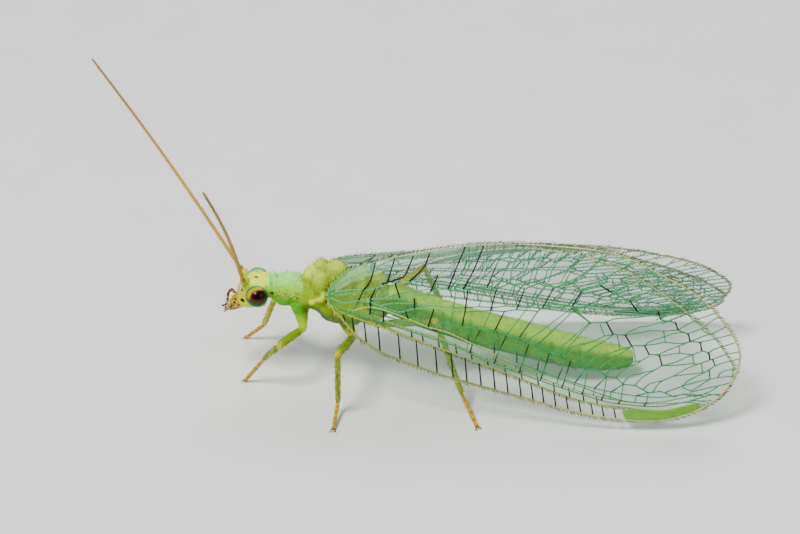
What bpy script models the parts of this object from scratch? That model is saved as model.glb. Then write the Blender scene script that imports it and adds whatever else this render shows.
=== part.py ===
"""Green lacewing, life size, standing with its wings folded like a steep roof.

The head points to -X, the insect's left side is at -Y and +Z is up. Sizes and
places are in millimetres, with X = 0 and Y = 0 over the metathorax and Z = 0
on the ground, and set_in_metres turns them into metres at the end, with the
origin under the middle of the whole insect.
"""
import math

import bmesh
import bpy
from mathutils import Matrix, Vector
from mathutils.geometry import delaunay_2d_cdt

# General sizes
MM = 0.001
GAP = 0.25
SMALL_GAP = 0.16
ORIGIN_SHIFT = (-0.57, 0.96, 0.0)

# Head: the capsule's centre and half sizes, its snout and its eyes
HEAD_CENTRE = Vector((-5.34, 0.0, 4.02))
HEAD_RADII = Vector((0.64, 0.62, 0.84))
HEAD_BACK_X = -4.88
SNOUT_PATH = ((-5.55, 0.0, 3.75, 0.46), (-5.95, 0.0, 3.52, 0.40), (-6.22, 0.0, 3.38, 0.29))
PALPS = (
    ((-6.10, 0.16, 3.42), (-6.42, 0.26, 3.30), (-6.58, 0.25, 3.08)),
    ((-5.95, 0.24, 3.30), (-6.16, 0.42, 3.06), (-6.30, 0.40, 2.82)),
)
PALP_ROOT_RADIUS = 0.15
PALP_TIP_RADIUS = 0.08
EYE_CENTRE = Vector((-5.30, 0.56, 3.98))
EYE_RADII = Vector((0.43, 0.44, 0.40))
EYE_FLAT_Y = 0.54

# Antennae: where each leaves the head, and the bow of its whip
SCAPE_ROOT_DIRECTION = Vector((-0.50, 0.30, 0.58))
SCAPE_RADIUS = 0.26
PEDICEL_RADIUS = 0.25
WHIP_RADIUS = 0.24
WHIP_TIP_RADIUS = 0.10
ANTENNA_TIPS = {
    "left": Vector((-6.86, -6.10, 11.75)),
    "right": Vector((-11.40, 4.05, 11.45)),
}
ANTENNA_BOW = {
    "left": Vector((-0.05, -0.10, 0.20)),
    "right": Vector((0.10, -0.05, 0.28)),
}

# Trunk: rows of x, z, half width and half height, from front to back
PROTHORAX_ROWS = (
    (-4.64, 3.95, 0.50, 0.48),
    (-4.48, 3.95, 0.62, 0.62),
    (-4.22, 3.94, 0.70, 0.70),
    (-3.98, 3.92, 0.69, 0.69),
    (-3.83, 3.91, 0.62, 0.62),
)
MESOTHORAX_ROWS = (
    (-3.54, 3.87, 0.68, 0.72),
    (-3.36, 3.84, 0.88, 0.96),
    (-3.05, 3.78, 1.04, 1.22),
    (-2.65, 3.74, 1.10, 1.30),
    (-2.25, 3.71, 1.06, 1.27),
    (-1.93, 3.68, 0.98, 1.17),
)
METATHORAX_ROWS = (
    (-1.65, 3.64, 0.98, 1.12),
    (-1.35, 3.60, 1.00, 1.15),
    (-1.02, 3.54, 0.98, 1.12),
    (-0.75, 3.50, 0.92, 1.06),
)
ABDOMEN_ROWS = (
    (-0.44, 3.40, 0.50, 0.50),
    (0.12, 3.24, 0.62, 0.62),
    (0.95, 2.97, 0.68, 0.68),
    (2.99, 2.20, 0.71, 0.71),
    (4.27, 1.83, 0.72, 0.72),
    (6.23, 1.25, 0.69, 0.69),
    (7.51, 0.97, 0.58, 0.58),
    (8.25, 0.90, 0.47, 0.46),
    (8.60, 0.88, 0.36, 0.34),
    (8.76, 0.88, 0.20, 0.18),
)
ABDOMEN_SEGMENTS = 9
ABDOMEN_CUTS = (0.0, 0.33, 0.66, 1.0)
ABDOMEN_FOLD_DEPTH = 0.05
TRUNK_SIDES = 24

# Legs: coxa root, coxa end, knee, ankle and claws of each, and their radii
LEG_JOINTS = {
    "front_left": ((-4.08, -0.42, 3.06), (-3.84, -0.62, 2.58), (-4.48, -1.45, 2.34),
                   (-5.04, -0.72, 0.74), (-5.80, -0.36, 0.10)),
    "front_right": ((-4.08, 0.42, 3.06), (-3.84, 0.62, 2.58), (-4.66, 1.70, 2.60),
                    (-5.10, 2.30, 0.78), (-5.85, 2.62, 0.10)),
    "mid_left": ((-2.05, -0.50, 2.34), (-1.92, -0.82, 2.02), (-2.30, -3.10, 2.80),
                 (-2.32, -2.50, 0.52), (-2.46, -3.62, 0.10)),
    "mid_right": ((-2.05, 0.50, 2.34), (-1.92, 0.82, 2.02), (-2.20, 3.05, 2.78),
                  (-2.10, 2.60, 0.55), (-2.05, 3.75, 0.10)),
    "hind_left": ((-0.98, -0.48, 2.14), (-0.74, -0.92, 2.04), (1.33, -1.30, 3.36),
                  (2.30, -2.28, 0.74), (2.84, -3.46, 0.10)),
    "hind_right": ((-0.98, 0.48, 2.14), (-0.74, 0.92, 2.04), (0.95, 1.20, 3.52),
                   (2.05, 2.22, 0.76), (2.80, 3.30, 0.10)),
}
COXA_RADIUS = 0.30
TROCHANTER_RADIUS = 0.25
FEMUR_RADIUS = 0.26
KNEE_RADIUS = 0.25
TIBIA_RADIUS = 0.25
ANKLE_RADIUS = 0.24
CLAW_RADIUS = 0.17
LEG_SIDES = 10

# Wings: both lie in roof planes that meet over the back
ROOF_LEAN = math.radians(33.0)
RIDGE_Z = 5.85
ROOF_SHIFT = 0.55
WING_THICKNESS = 0.48
VEIN_HEIGHT = 0.09
VEIN_HALF_WIDTH = 0.15
HINDWING_INSET = WING_THICKNESS + VEIN_HEIGHT + GAP
CAMBER = 0.30
CAMBER_MIDDLE = 3.0
CAMBER_HALF_WIDTH = 3.6
OUTLINE_STEP = 0.45
FIELD_STEP = 0.85
VEIN_STEP = 0.70

# Wing outlines as places along the body and down the roof, round the margin
FOREWING_OUTLINE = (
    (-3.42, 1.86), (-2.02, 2.92), (-0.60, 4.02), (1.36, 4.80), (3.05, 5.31), (5.48, 5.92),
    (8.20, 6.44), (9.70, 6.50), (10.95, 6.16), (11.98, 5.44), (12.54, 4.50), (12.57, 3.66),
    (12.06, 2.80), (11.30, 2.02), (9.34, 0.84), (7.36, 0.16), (4.86, -0.20), (2.60, 0.04),
    (0.00, 0.40), (-1.90, 0.66), (-2.80, 1.16),
)
HINDWING_OUTLINE = (
    (-0.36, 2.12), (0.60, 2.06), (1.75, 2.36), (2.75, 3.60), (3.90, 4.72), (5.60, 5.28),
    (8.20, 5.62), (9.80, 5.52), (10.90, 4.95), (11.50, 4.05), (11.45, 3.25), (10.90, 2.45),
    (9.40, 1.60), (7.20, 1.16), (4.60, 1.06), (2.20, 1.10), (0.70, 1.34), (-0.36, 1.66),
)

# Main veins in the same places: the last forewing ones fan out to the margin
FOREWING_VEINS = (
    ((-2.60, 2.24), (-1.40, 2.72), (0.00, 3.14), (1.40, 3.64), (2.90, 4.24), (4.40, 4.84),
     (5.90, 5.40), (7.30, 5.84), (8.60, 6.00), (10.10, 5.86), (11.20, 5.40)),
    ((-0.40, 2.34), (0.60, 2.76), (1.80, 3.22), (3.60, 4.02), (5.40, 4.74), (7.20, 5.40)),
    ((2.00, 2.90), (2.94, 3.06), (3.90, 3.34), (5.15, 3.70), (6.24, 4.16), (7.22, 4.62),
     (8.20, 5.08), (9.14, 5.36), (9.90, 5.40)),
    ((-1.60, 1.94), (-0.80, 2.00), (0.40, 1.98), (1.50, 2.02), (2.45, 2.32), (3.70, 2.36),
     (5.15, 2.42), (6.36, 2.44), (7.40, 2.74), (8.60, 2.64), (9.80, 2.58), (10.80, 2.22)),
    ((-0.60, 1.50), (1.20, 1.30), (3.20, 1.18), (5.20, 1.10), (7.40, 1.34), (9.20, 1.70)),
    ((5.60, 3.48), (7.00, 3.26), (9.00, 3.24), (11.50, 2.86)),
    ((7.50, 4.28), (9.20, 3.98), (12.00, 3.72)),
    ((9.00, 4.92), (10.50, 4.64), (11.95, 4.50)),
)
HINDWING_VEINS = (
    ((0.30, 1.72), (1.60, 1.90), (2.40, 2.56), (3.20, 3.36), (4.20, 4.04), (5.60, 4.54),
     (8.20, 5.04), (9.80, 4.98), (10.70, 4.54)),
    ((3.30, 2.60), (4.40, 3.12), (6.20, 3.74), (7.80, 4.26), (9.20, 4.42)),
    ((1.80, 1.50), (3.00, 1.76), (4.40, 1.98), (6.40, 2.14), (8.20, 2.46), (9.80, 2.62)),
    ((6.90, 3.50), (8.60, 3.30), (11.00, 3.34)),
)


def smooth_rows(rows, steps):
    """Return rows on a Catmull-Rom curve that passes through the given rows."""
    result = []
    last = len(rows) - 1
    for index in range(last):
        before = rows[max(index - 1, 0)]
        start = rows[index]
        end = rows[index + 1]
        after = rows[min(index + 2, last)]
        for step in range(steps):
            t = step / steps
            result.append(tuple(curve_value(*group, t) for group in zip(before, start, end, after)))
    result.append(tuple(rows[last]))
    return result


def curve_value(before, start, end, after, t):
    """Return one number of a Catmull-Rom curve between start and end."""
    rise = (end - before) / 2
    fall = (after - start) / 2
    bend = 3 * (end - start) - 2 * rise - fall
    twist = 2 * (start - end) + rise + fall
    return start + rise * t + bend * t * t + twist * t * t * t


def new_material(name, colour, roughness):
    """Return a Principled BSDF material in one colour."""
    material = bpy.data.materials.new(name)
    material.use_nodes = True
    shader = material.node_tree.nodes["Principled BSDF"]
    shader.inputs["Base Color"].default_value = (*colour, 1.0)
    shader.inputs["Roughness"].default_value = roughness
    shader.inputs["Metallic"].default_value = 0.0
    material.diffuse_color = (*colour, 1.0)
    return material


def new_object(name, points, faces):
    """Make a closed mesh object from points in millimetres."""
    mesh = bpy.data.meshes.new(name)
    mesh.from_pydata([tuple(point) for point in points], [], faces)
    work = bmesh.new()
    work.from_mesh(mesh)
    bmesh.ops.recalc_face_normals(work, faces=work.faces)
    bmesh.ops.triangulate(work, faces=work.faces)
    work.to_mesh(mesh)
    work.free()
    piece = bpy.data.objects.new(name, mesh)
    bpy.context.scene.collection.objects.link(piece)
    return piece


def set_in_metres(piece, material):
    """Turn a finished piece into metres, place it and give it its material."""
    shift = Matrix.Translation(Vector(ORIGIN_SHIFT))
    piece.data.transform(Matrix.Scale(MM, 4) @ shift)
    piece.data.materials.clear()
    piece.data.materials.append(material)
    piece.data.shade_smooth()
    piece.data.set_sharp_from_angle(angle=math.radians(40))
    return piece


def ring_faces(ring_count, sides):
    """Return the faces of a tube made of rings, with both ends filled."""
    faces = [tuple(reversed(range(sides)))]
    for ring in range(ring_count - 1):
        for side in range(sides):
            following = (side + 1) % sides
            low = ring * sides
            high = low + sides
            faces.append((low + side, low + following, high + following, high + side))
    faces.append(tuple(range((ring_count - 1) * sides, ring_count * sides)))
    return faces


def tube(name, places, radii, sides):
    """Make a tube with round rings square to its path."""
    places = [Vector(place) for place in places]
    last = len(places) - 1
    tangent = (places[1] - places[0]).normalized()
    side_way = tangent.cross(Vector((0.31, 0.83, 0.47))).normalized()
    points = []
    for index, place in enumerate(places):
        tangent = (places[min(index + 1, last)] - places[max(index - 1, 0)]).normalized()
        side_way = (side_way - tangent * side_way.dot(tangent)).normalized()
        up_way = tangent.cross(side_way)
        for side in range(sides):
            angle = 2 * math.pi * side / sides
            spoke = side_way * math.cos(angle) + up_way * math.sin(angle)
            points.append(place + spoke * radii[index])
    return new_object(name, points, ring_faces(len(places), sides))


def body_length(name, rows, sides):
    """Make a length of the trunk with oval rings square to its middle line."""
    last = len(rows) - 1
    points = []
    for index, (x, z, half_width, half_height) in enumerate(rows):
        before = rows[max(index - 1, 0)]
        after = rows[min(index + 1, last)]
        along = Vector((after[0] - before[0], 0, after[1] - before[1])).normalized()
        up_way = Vector((-along.z, 0, along.x))
        for side in range(sides):
            angle = 2 * math.pi * side / sides
            across = Vector((0, math.cos(angle) * half_width, 0))
            points.append(Vector((x, 0, z)) + across + up_way * math.sin(angle) * half_height)
    return new_object(name, points, ring_faces(len(rows), sides))


def ball(name, centre, radii, rings, sides):
    """Make an ellipsoid from rings stacked along Y."""
    points = []
    for ring in range(1, rings):
        turn = math.pi * ring / rings
        for side in range(sides):
            angle = 2 * math.pi * side / sides
            spoke = math.sin(turn)
            offset = Vector((spoke * math.cos(angle), -math.cos(turn), spoke * math.sin(angle)))
            points.append(centre + Vector(a * b for a, b in zip(offset, radii)))
    first = len(points)
    points.append(centre - Vector((0, radii[1], 0)))
    points.append(centre + Vector((0, radii[1], 0)))
    faces = ring_faces(rings - 1, sides)[1:-1]
    for side in range(sides):
        following = (side + 1) % sides
        top = (rings - 2) * sides
        faces.append((first, following, side))
        faces.append((first + 1, top + side, top + following))
    return new_object(name, points, faces)


def combine(base, others, operation):
    """Join or cut the base by all the others at once, and remove the others."""
    tools = bpy.data.collections.new(base.name + "_tools")
    for other in others:
        tools.objects.link(other)
    modifier = base.modifiers.new("Combine", "BOOLEAN")
    modifier.operation = operation
    modifier.operand_type = "COLLECTION"
    modifier.collection = tools
    modifier.solver = "EXACT"
    evaluated = base.evaluated_get(bpy.context.evaluated_depsgraph_get())
    mesh = bpy.data.meshes.new_from_object(evaluated)
    base.modifiers.clear()
    base.data = mesh
    for other in others:
        bpy.data.objects.remove(other)
    bpy.data.collections.remove(tools)
    keep_largest_surface(base)
    return base


def keep_largest_surface(piece):
    """Drop every closed surface of a piece but the largest."""
    work = bmesh.new()
    work.from_mesh(piece.data)
    islands = []
    left = set(work.verts)
    while left:
        island = {left.pop()}
        border = list(island)
        while border:
            point = border.pop()
            for edge in point.link_edges:
                other = edge.other_vert(point)
                if other in left:
                    left.remove(other)
                    island.add(other)
                    border.append(other)
        islands.append(island)
    islands.sort(key=len)
    loose = [point for island in islands[:-1] for point in island]
    bmesh.ops.delete(work, geom=loose, context="VERTS")
    bmesh.ops.triangulate(work, faces=work.faces)
    work.to_mesh(piece.data)
    work.free()


def mirrored(place, side):
    """Return a place of the right side, or its mirror image on the left."""
    if side == "right":
        return Vector(place)
    return Vector((place[0], -place[1], place[2]))


def head():
    """Make the head capsule with its snout, palps and two eye seats."""
    capsule = ball("head", HEAD_CENTRE, HEAD_RADII, 16, 24)
    snout_rows = smooth_rows(SNOUT_PATH, 3)
    pieces = [tube("snout", [row[:3] for row in snout_rows], [row[3] for row in snout_rows], 16)]
    for side in ("left", "right"):
        for palp in PALPS:
            places = smooth_rows(palp, 2)
            slope = (PALP_TIP_RADIUS - PALP_ROOT_RADIUS) / (len(places) - 1)
            radii = [PALP_ROOT_RADIUS + slope * index for index in range(len(places))]
            pieces.append(tube("palp", [mirrored(place, side) for place in places], radii, 6))
    combine(capsule, pieces, "UNION")
    cutters = [back_of_head_cutter()]
    for side in ("left", "right"):
        start = mirrored(EYE_CENTRE, side)
        start.y = math.copysign(EYE_FLAT_Y - SMALL_GAP, start.y)
        end = start + Vector((0, math.copysign(1.0, start.y), 0))
        seat_radius = EYE_RADII.x + SMALL_GAP
        cutters.append(tube("eye_seat", [start, end], [seat_radius, seat_radius], 24))
    return combine(capsule, cutters, "DIFFERENCE")


def back_of_head_cutter():
    """Make the cutter that leaves a flat back where the neck meets the head."""
    start = Vector((HEAD_BACK_X, 0, HEAD_CENTRE.z))
    end = start + Vector((1.0, 0, 0))
    return tube("head_back", [start, end], [1.2, 1.2], 24)


def eye(side):
    """Make one eye as a dome with a flat back that faces its seat."""
    centre = mirrored(EYE_CENTRE, side)
    dome = ball("eye_" + side, centre, EYE_RADII, 12, 20)
    flat_y = math.copysign(EYE_FLAT_Y, centre.y)
    start = Vector((centre.x, flat_y, centre.z))
    end = start - Vector((0, math.copysign(1.0, centre.y), 0))
    cutter = tube("eye_flat", [start, end], [0.8, 0.8], 12)
    return combine(dome, [cutter], "DIFFERENCE")


def antenna(side):
    """Make one antenna: bulb, collar and a long whip, from the head's own surface."""
    direction = mirrored(SCAPE_ROOT_DIRECTION, side)
    scaled = Vector(a / b for a, b in zip(direction, HEAD_RADII))
    surface = HEAD_CENTRE + direction / scaled.length
    normal = Vector((a - b) / (c * c) for a, b, c in zip(surface, HEAD_CENTRE, HEAD_RADII)).normalized()
    root = surface + normal * SMALL_GAP
    bulb = root + normal * 0.20
    tip = ANTENNA_TIPS[side]
    whip_way = (tip - bulb).normalized()
    collar = bulb + (normal + whip_way).normalized() * 0.26
    whip_start = collar + whip_way * 0.22
    rows = [(*root, SCAPE_RADIUS * 0.85), (*bulb, SCAPE_RADIUS), (*collar, PEDICEL_RADIUS)]
    rows.append((*whip_start, WHIP_RADIUS))
    for step in range(1, 13):
        share = step / 12
        place = whip_start.lerp(tip, share) + ANTENNA_BOW[side] * math.sin(math.pi * share)
        rows.append((*place, WHIP_RADIUS + (WHIP_TIP_RADIUS - WHIP_RADIUS) * share ** 3))
    return tube("antenna_" + side, [row[:3] for row in rows], [row[3] for row in rows], 8)


def trunk_piece(name, rows):
    """Make one piece of the thorax."""
    return body_length(name, smooth_rows(rows, 3), TRUNK_SIDES)


def abdomen_row(share):
    """Return the abdomen's row at a share of its length, with its ring folds."""
    spans = len(ABDOMEN_ROWS) - 1
    rows = smooth_rows(ABDOMEN_ROWS, 8)
    first = ABDOMEN_ROWS[0][0]
    x = first + share * (ABDOMEN_ROWS[spans][0] - first)
    index = 0
    while index < len(rows) - 2 and rows[index + 1][0] < x:
        index += 1
    low = rows[index]
    high = rows[index + 1]
    t = (x - low[0]) / (high[0] - low[0])
    row = [a + (b - a) * t for a, b in zip(low, high)]
    fold = 1 - ABDOMEN_FOLD_DEPTH * abs(math.cos(math.pi * share * ABDOMEN_SEGMENTS)) ** 6
    return (row[0], row[1], row[2] * fold, row[3] * fold)


def abdomen_part(name, index):
    """Make one of the abdomen's lengths, half a gap short of each cut."""
    span = ABDOMEN_ROWS[-1][0] - ABDOMEN_ROWS[0][0]
    half_gap = GAP / 2 / span
    start = ABDOMEN_CUTS[index]
    end = ABDOMEN_CUTS[index + 1]
    if index > 0:
        start += half_gap
    if index < len(ABDOMEN_CUTS) - 2:
        end -= half_gap
    count = 14
    shares = [start + (end - start) * step / count for step in range(count + 1)]
    return body_length(name, [abdomen_row(share) for share in shares], TRUNK_SIDES)


def leg_upper(leg):
    """Make coxa, trochanter and femur as one piece."""
    root, coxa_end, knee = [Vector(place) for place in LEG_JOINTS[leg][:3]]
    femur_way = (knee - coxa_end).normalized()
    places = [root, root.lerp(coxa_end, 0.5), coxa_end, coxa_end + femur_way * 0.30]
    radii = [COXA_RADIUS * 0.9, COXA_RADIUS, COXA_RADIUS * 0.95, TROCHANTER_RADIUS]
    for share in (0.35, 0.6, 0.85):
        places.append(coxa_end.lerp(knee, share))
        radii.append(FEMUR_RADIUS)
    places.append(knee)
    radii.append(KNEE_RADIUS)
    places.append(knee + femur_way * 0.12)
    radii.append(KNEE_RADIUS * 0.7)
    return tube("leg_" + leg + "_upper", places, radii, LEG_SIDES)


def knee_clearance(leg):
    """Return how far down its line a tibia starts, to stay clear of its femur."""
    coxa_end, knee, ankle = [Vector(place) for place in LEG_JOINTS[leg][1:4]]
    bend = (coxa_end - knee).angle(ankle - knee)
    start_radius = TIBIA_RADIUS * 0.85
    beside_femur = (FEMUR_RADIUS + GAP + start_radius * max(math.cos(bend), 0)) / math.sin(bend)
    return max(KNEE_RADIUS + GAP, beside_femur)


def leg_lower(leg):
    """Make tibia, foot and claws as one piece, with a small flat on the ground."""
    knee, ankle, claws = [Vector(place) for place in LEG_JOINTS[leg][2:]]
    tibia_way = (ankle - knee).normalized()
    foot_way = (claws - ankle).normalized()
    start = knee + tibia_way * knee_clearance(leg)
    places = [start, start.lerp(ankle, 0.3), start.lerp(ankle, 0.65), ankle - tibia_way * 0.14]
    radii = [TIBIA_RADIUS * 0.85, TIBIA_RADIUS, TIBIA_RADIUS, ANKLE_RADIUS]
    places.append(ankle + foot_way * 0.14)
    radii.append(ANKLE_RADIUS)
    places.append(ankle.lerp(claws, 0.6))
    radii.append(ANKLE_RADIUS * 0.9)
    places.append(claws)
    radii.append(CLAW_RADIUS)
    flat_way = Vector((foot_way.x, foot_way.y, 0)).normalized()
    places.append(claws + flat_way * 0.22)
    radii.append(CLAW_RADIUS * 0.7)
    piece = tube("leg_" + leg + "_lower", places, radii, LEG_SIDES)
    for point in piece.data.vertices:
        point.co.z = max(point.co.z, 0.0)
    return piece


def wing_place(along, down, depth, side):
    """Return a point of the roof: along the body, down the slope, and out of it."""
    lean_y = math.sin(ROOF_LEAN)
    lean_z = math.cos(ROOF_LEAN)
    bulge = max(0.0, 1 - ((down - CAMBER_MIDDLE) / CAMBER_HALF_WIDTH) ** 2)
    ramp = min(max((along + 2.0) / 4.0, 0.0), 1.0)
    out = ROOF_SHIFT + depth + CAMBER * bulge * ramp * ramp * (3 - 2 * ramp)
    y = down * lean_y + out * lean_z
    z = RIDGE_Z - down * lean_z + out * lean_y
    if side == "left":
        y = -y
    return Vector((along, y, z))


def even_line(rows, step, closed):
    """Return evenly spaced points on a smooth line through the given rows."""
    rows = list(rows)
    if closed:
        rows = rows[-1:] + rows + rows[:2]
    dense = smooth_rows(rows, 12)
    if closed:
        dense = dense[12:-12]
    lengths = [0.0]
    for start, end in zip(dense, dense[1:]):
        lengths.append(lengths[-1] + math.dist(start, end))
    count = max(2, round(lengths[-1] / step))
    line = []
    index = 0
    for number in range(count + 1):
        target = lengths[-1] * number / count
        while index < len(dense) - 2 and lengths[index + 1] < target:
            index += 1
        t = (target - lengths[index]) / (lengths[index + 1] - lengths[index])
        line.append(Vector(dense[index]).lerp(Vector(dense[index + 1]), t))
    return line[:-1] if closed else line


def inside_outline(place, outline):
    """Tell whether a place lies inside a closed outline."""
    inside = False
    for start, end in zip(outline, outline[1:] + outline[:1]):
        if (start.y > place.y) != (end.y > place.y):
            crossing = start.x + (place.y - start.y) / (end.y - start.y) * (end.x - start.x)
            if crossing > place.x:
                inside = not inside
    return inside


def field_points(outline, clearance):
    """Return a loose grid of points inside an outline."""
    points = []
    low_x = min(place.x for place in outline)
    high_x = max(place.x for place in outline)
    low_y = min(place.y for place in outline)
    high_y = max(place.y for place in outline)
    row = 0
    y = low_y
    while y < high_y:
        x = low_x + (row % 2) * FIELD_STEP / 2
        while x < high_x:
            place = Vector((x, y))
            if inside_outline(place, outline):
                if min((place - other).length for other in outline) > clearance:
                    points.append(place)
            x += FIELD_STEP
        y += FIELD_STEP * 0.87
        row += 1
    return points


def vein_strips(line):
    """Return a vein's crest line and its two foot lines, drawn in at both ends."""
    last = len(line) - 1
    strips = [list(line), [], []]
    for index, place in enumerate(line):
        along = (line[min(index + 1, last)] - line[max(index - 1, 0)]).normalized()
        across = Vector((-along.y, along.x)) * VEIN_HALF_WIDTH
        if index in (0, last):
            across *= 0.4
        strips[1].append(place + across)
        strips[2].append(place - across)
    return strips


def distance_to_line(place, line):
    """Return the distance from a place to a line of points."""
    best = math.inf
    for start, end in zip(line, line[1:]):
        way = end - start
        share = min(max((place - start).dot(way) / way.length_squared, 0.0), 1.0)
        best = min(best, (place - start - way * share).length)
    return best


def vein_rise(place, crests):
    """Return how far the membrane is raised by the nearest vein."""
    nearest = min(distance_to_line(place, crest) for crest in crests)
    return VEIN_HEIGHT * max(0.0, 1 - nearest / VEIN_HALF_WIDTH)


def wing(name, outline_rows, vein_rows, inset, side):
    """Make a wing plate, split into the same triangles on both of its faces."""
    outline = even_line(outline_rows, OUTLINE_STEP, True)
    count = len(outline)
    crests = [even_line(rows, VEIN_STEP, False) for rows in vein_rows]
    field = field_points(outline, FIELD_STEP * 0.45)
    clear = VEIN_HALF_WIDTH + FIELD_STEP * 0.3
    places = outline + [p for p in field if all(distance_to_line(p, crest) > clear for crest in crests)]
    lines = [(index, (index + 1) % count) for index in range(count)]
    for crest in crests:
        for strip in vein_strips(crest):
            first = len(places)
            places += strip
            lines += [(first + index, first + index + 1) for index in range(len(strip) - 1)]
    flat = delaunay_2d_cdt(places, lines, [], 1, 1e-6)
    flat_places = flat[0]
    triangles = [tuple(face) for face in flat[2]]
    total = len(flat_places)
    rises = [vein_rise(place, crests) for place in flat_places]
    half = WING_THICKNESS / 2
    points = [wing_place(p.x, p.y, half + rise - inset, side) for p, rise in zip(flat_places, rises)]
    points += [wing_place(p.x, p.y, -half - inset, side) for p in flat_places]
    faces = list(triangles)
    faces += [tuple(reversed([index + total for index in face])) for face in triangles]
    edge_uses = {}
    for face in triangles:
        for start, end in zip(face, face[1:] + face[:1]):
            edge_uses[(start, end)] = True
    for start, end in edge_uses:
        if (end, start) not in edge_uses:
            faces.append((end, start, start + total))
            faces.append((end, start + total, end + total))
    return new_object(name, points, faces)


def main():
    for item in list(bpy.data.objects):
        bpy.data.objects.remove(item)
    set_in_metres(head(), new_material("head green", (0.55, 0.68, 0.16), 0.5))
    for side in ("left", "right"):
        set_in_metres(eye(side), new_material("eye " + side, (0.10, 0.22, 0.12), 0.15))
        set_in_metres(antenna(side), new_material("antenna " + side, (0.66, 0.45, 0.12), 0.6))
    trunk = (
        ("prothorax", PROTHORAX_ROWS),
        ("mesothorax", MESOTHORAX_ROWS),
        ("metathorax", METATHORAX_ROWS),
    )
    for name, rows in trunk:
        set_in_metres(trunk_piece(name, rows), new_material(name + " green", (0.50, 0.66, 0.17), 0.55))
    for index, name in enumerate(("abdomen_front", "abdomen_middle", "abdomen_rear")):
        set_in_metres(abdomen_part(name, index), new_material(name + " green", (0.42, 0.62, 0.10), 0.55))
    for leg in LEG_JOINTS:
        set_in_metres(leg_upper(leg), new_material("femur " + leg, (0.42, 0.58, 0.12), 0.55))
        set_in_metres(leg_lower(leg), new_material("tibia " + leg, (0.48, 0.52, 0.16), 0.6))
    for side in ("left", "right"):
        forewing = wing("forewing_" + side, FOREWING_OUTLINE, FOREWING_VEINS, 0.0, side)
        set_in_metres(forewing, new_material("forewing " + side, (0.62, 0.80, 0.66), 0.25))
        hindwing = wing("hindwing_" + side, HINDWING_OUTLINE, HINDWING_VEINS, HINDWING_INSET, side)
        set_in_metres(hindwing, new_material("hindwing " + side, (0.58, 0.76, 0.66), 0.25))


main()
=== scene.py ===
# %% [markdown]
# # A green lacewing, still and at life size
# This notebook dresses the solids of a green lacewing, an insect 24 mm long from feeler tip to wing
# tip. The solids say where everything is and how far it reaches. The looks are made here: one
# unbroken skin, eyes, feelers, claws, four glassy wings with their net of veins, and the hairs.
# We load the solids first and keep their box, because the dressed insect must not outgrow it.

# %% Load the solids
import math

import bpy
import numpy as np
from mathutils import Matrix, Vector


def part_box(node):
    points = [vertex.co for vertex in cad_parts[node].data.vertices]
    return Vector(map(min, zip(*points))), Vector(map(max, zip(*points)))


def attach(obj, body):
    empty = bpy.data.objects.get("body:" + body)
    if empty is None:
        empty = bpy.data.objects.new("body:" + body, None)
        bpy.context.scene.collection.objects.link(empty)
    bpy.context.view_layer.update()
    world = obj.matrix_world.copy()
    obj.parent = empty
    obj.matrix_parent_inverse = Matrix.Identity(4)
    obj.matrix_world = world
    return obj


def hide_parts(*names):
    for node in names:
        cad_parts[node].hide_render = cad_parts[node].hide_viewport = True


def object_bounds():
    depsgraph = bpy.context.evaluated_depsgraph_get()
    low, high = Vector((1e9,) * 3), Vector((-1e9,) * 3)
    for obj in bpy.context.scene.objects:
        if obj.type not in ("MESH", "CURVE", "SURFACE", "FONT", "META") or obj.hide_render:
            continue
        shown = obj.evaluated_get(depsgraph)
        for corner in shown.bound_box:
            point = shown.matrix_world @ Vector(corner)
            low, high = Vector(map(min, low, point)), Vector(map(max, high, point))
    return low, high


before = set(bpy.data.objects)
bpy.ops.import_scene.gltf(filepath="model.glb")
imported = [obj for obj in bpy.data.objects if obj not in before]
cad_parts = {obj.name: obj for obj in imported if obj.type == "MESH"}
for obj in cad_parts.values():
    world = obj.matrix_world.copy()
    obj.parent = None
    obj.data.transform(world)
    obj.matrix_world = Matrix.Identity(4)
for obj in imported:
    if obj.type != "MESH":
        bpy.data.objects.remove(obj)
CAD_BOX = [[float(number) for number in corner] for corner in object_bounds()]
print("solids:", len(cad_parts), "box", CAD_BOX)

# %% [markdown]
# ## Working in millimetres
# Blender's voxel remesher can't go below a tenth of a millimetre, which is coarse on a head that is
# only a millimetre and a half wide. So every piece is modelled at one unit to the millimetre, and
# brought down to metres when it is finished. Zero is on the ground under the hind part of the
# thorax, the head looks along -X, and the insect's left side is at -Y. The solids' frame has its
# origin elsewhere, and the place of the eyes tells by how much.

# %% Settle from millimetres to the frame
MM = 0.001
EYE_PLACE = Vector((-5.30, 0.56, 3.98))
left_eye = [Vector(corner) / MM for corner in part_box("eye_left")]
right_eye = [Vector(corner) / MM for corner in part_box("eye_right")]
eye_along = (left_eye[0].x + left_eye[1].x) / 2
middle_across = (left_eye[0].y + right_eye[1].y) / 2
SHIFT = Vector((eye_along - EYE_PLACE.x, middle_across, 0))
SIDES = {"left": -1, "right": 1}


def deselect():
    """Leave edit mode and let go of everything, so that an operator acts on its own piece only."""
    if bpy.context.object is not None and bpy.context.object.mode != "OBJECT":
        bpy.ops.object.mode_set(mode="OBJECT")
    bpy.ops.object.select_all(action="DESELECT")


def settle(piece, name, slot, *replaced, smooth=True):
    """Name a finished piece, bring it down to metres, and hide the solids it replaces. The slot is not
    used.
    """
    deselect()
    piece.select_set(True)
    bpy.context.view_layer.objects.active = piece
    bpy.ops.object.transform_apply(location=True, rotation=True, scale=True)
    if smooth:
        bpy.ops.object.shade_smooth()
    piece.data.transform(Matrix.Translation(SHIFT * MM) @ Matrix.Scale(MM, 4))
    piece.name = name
    piece.data.name = name
    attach(piece, "root")
    if replaced:
        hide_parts(*replaced)
    piece.data.calc_loop_triangles()
    print(name, len(piece.data.loop_triangles), "triangles")
    return piece


print("shift in mm:", SHIFT)

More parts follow.
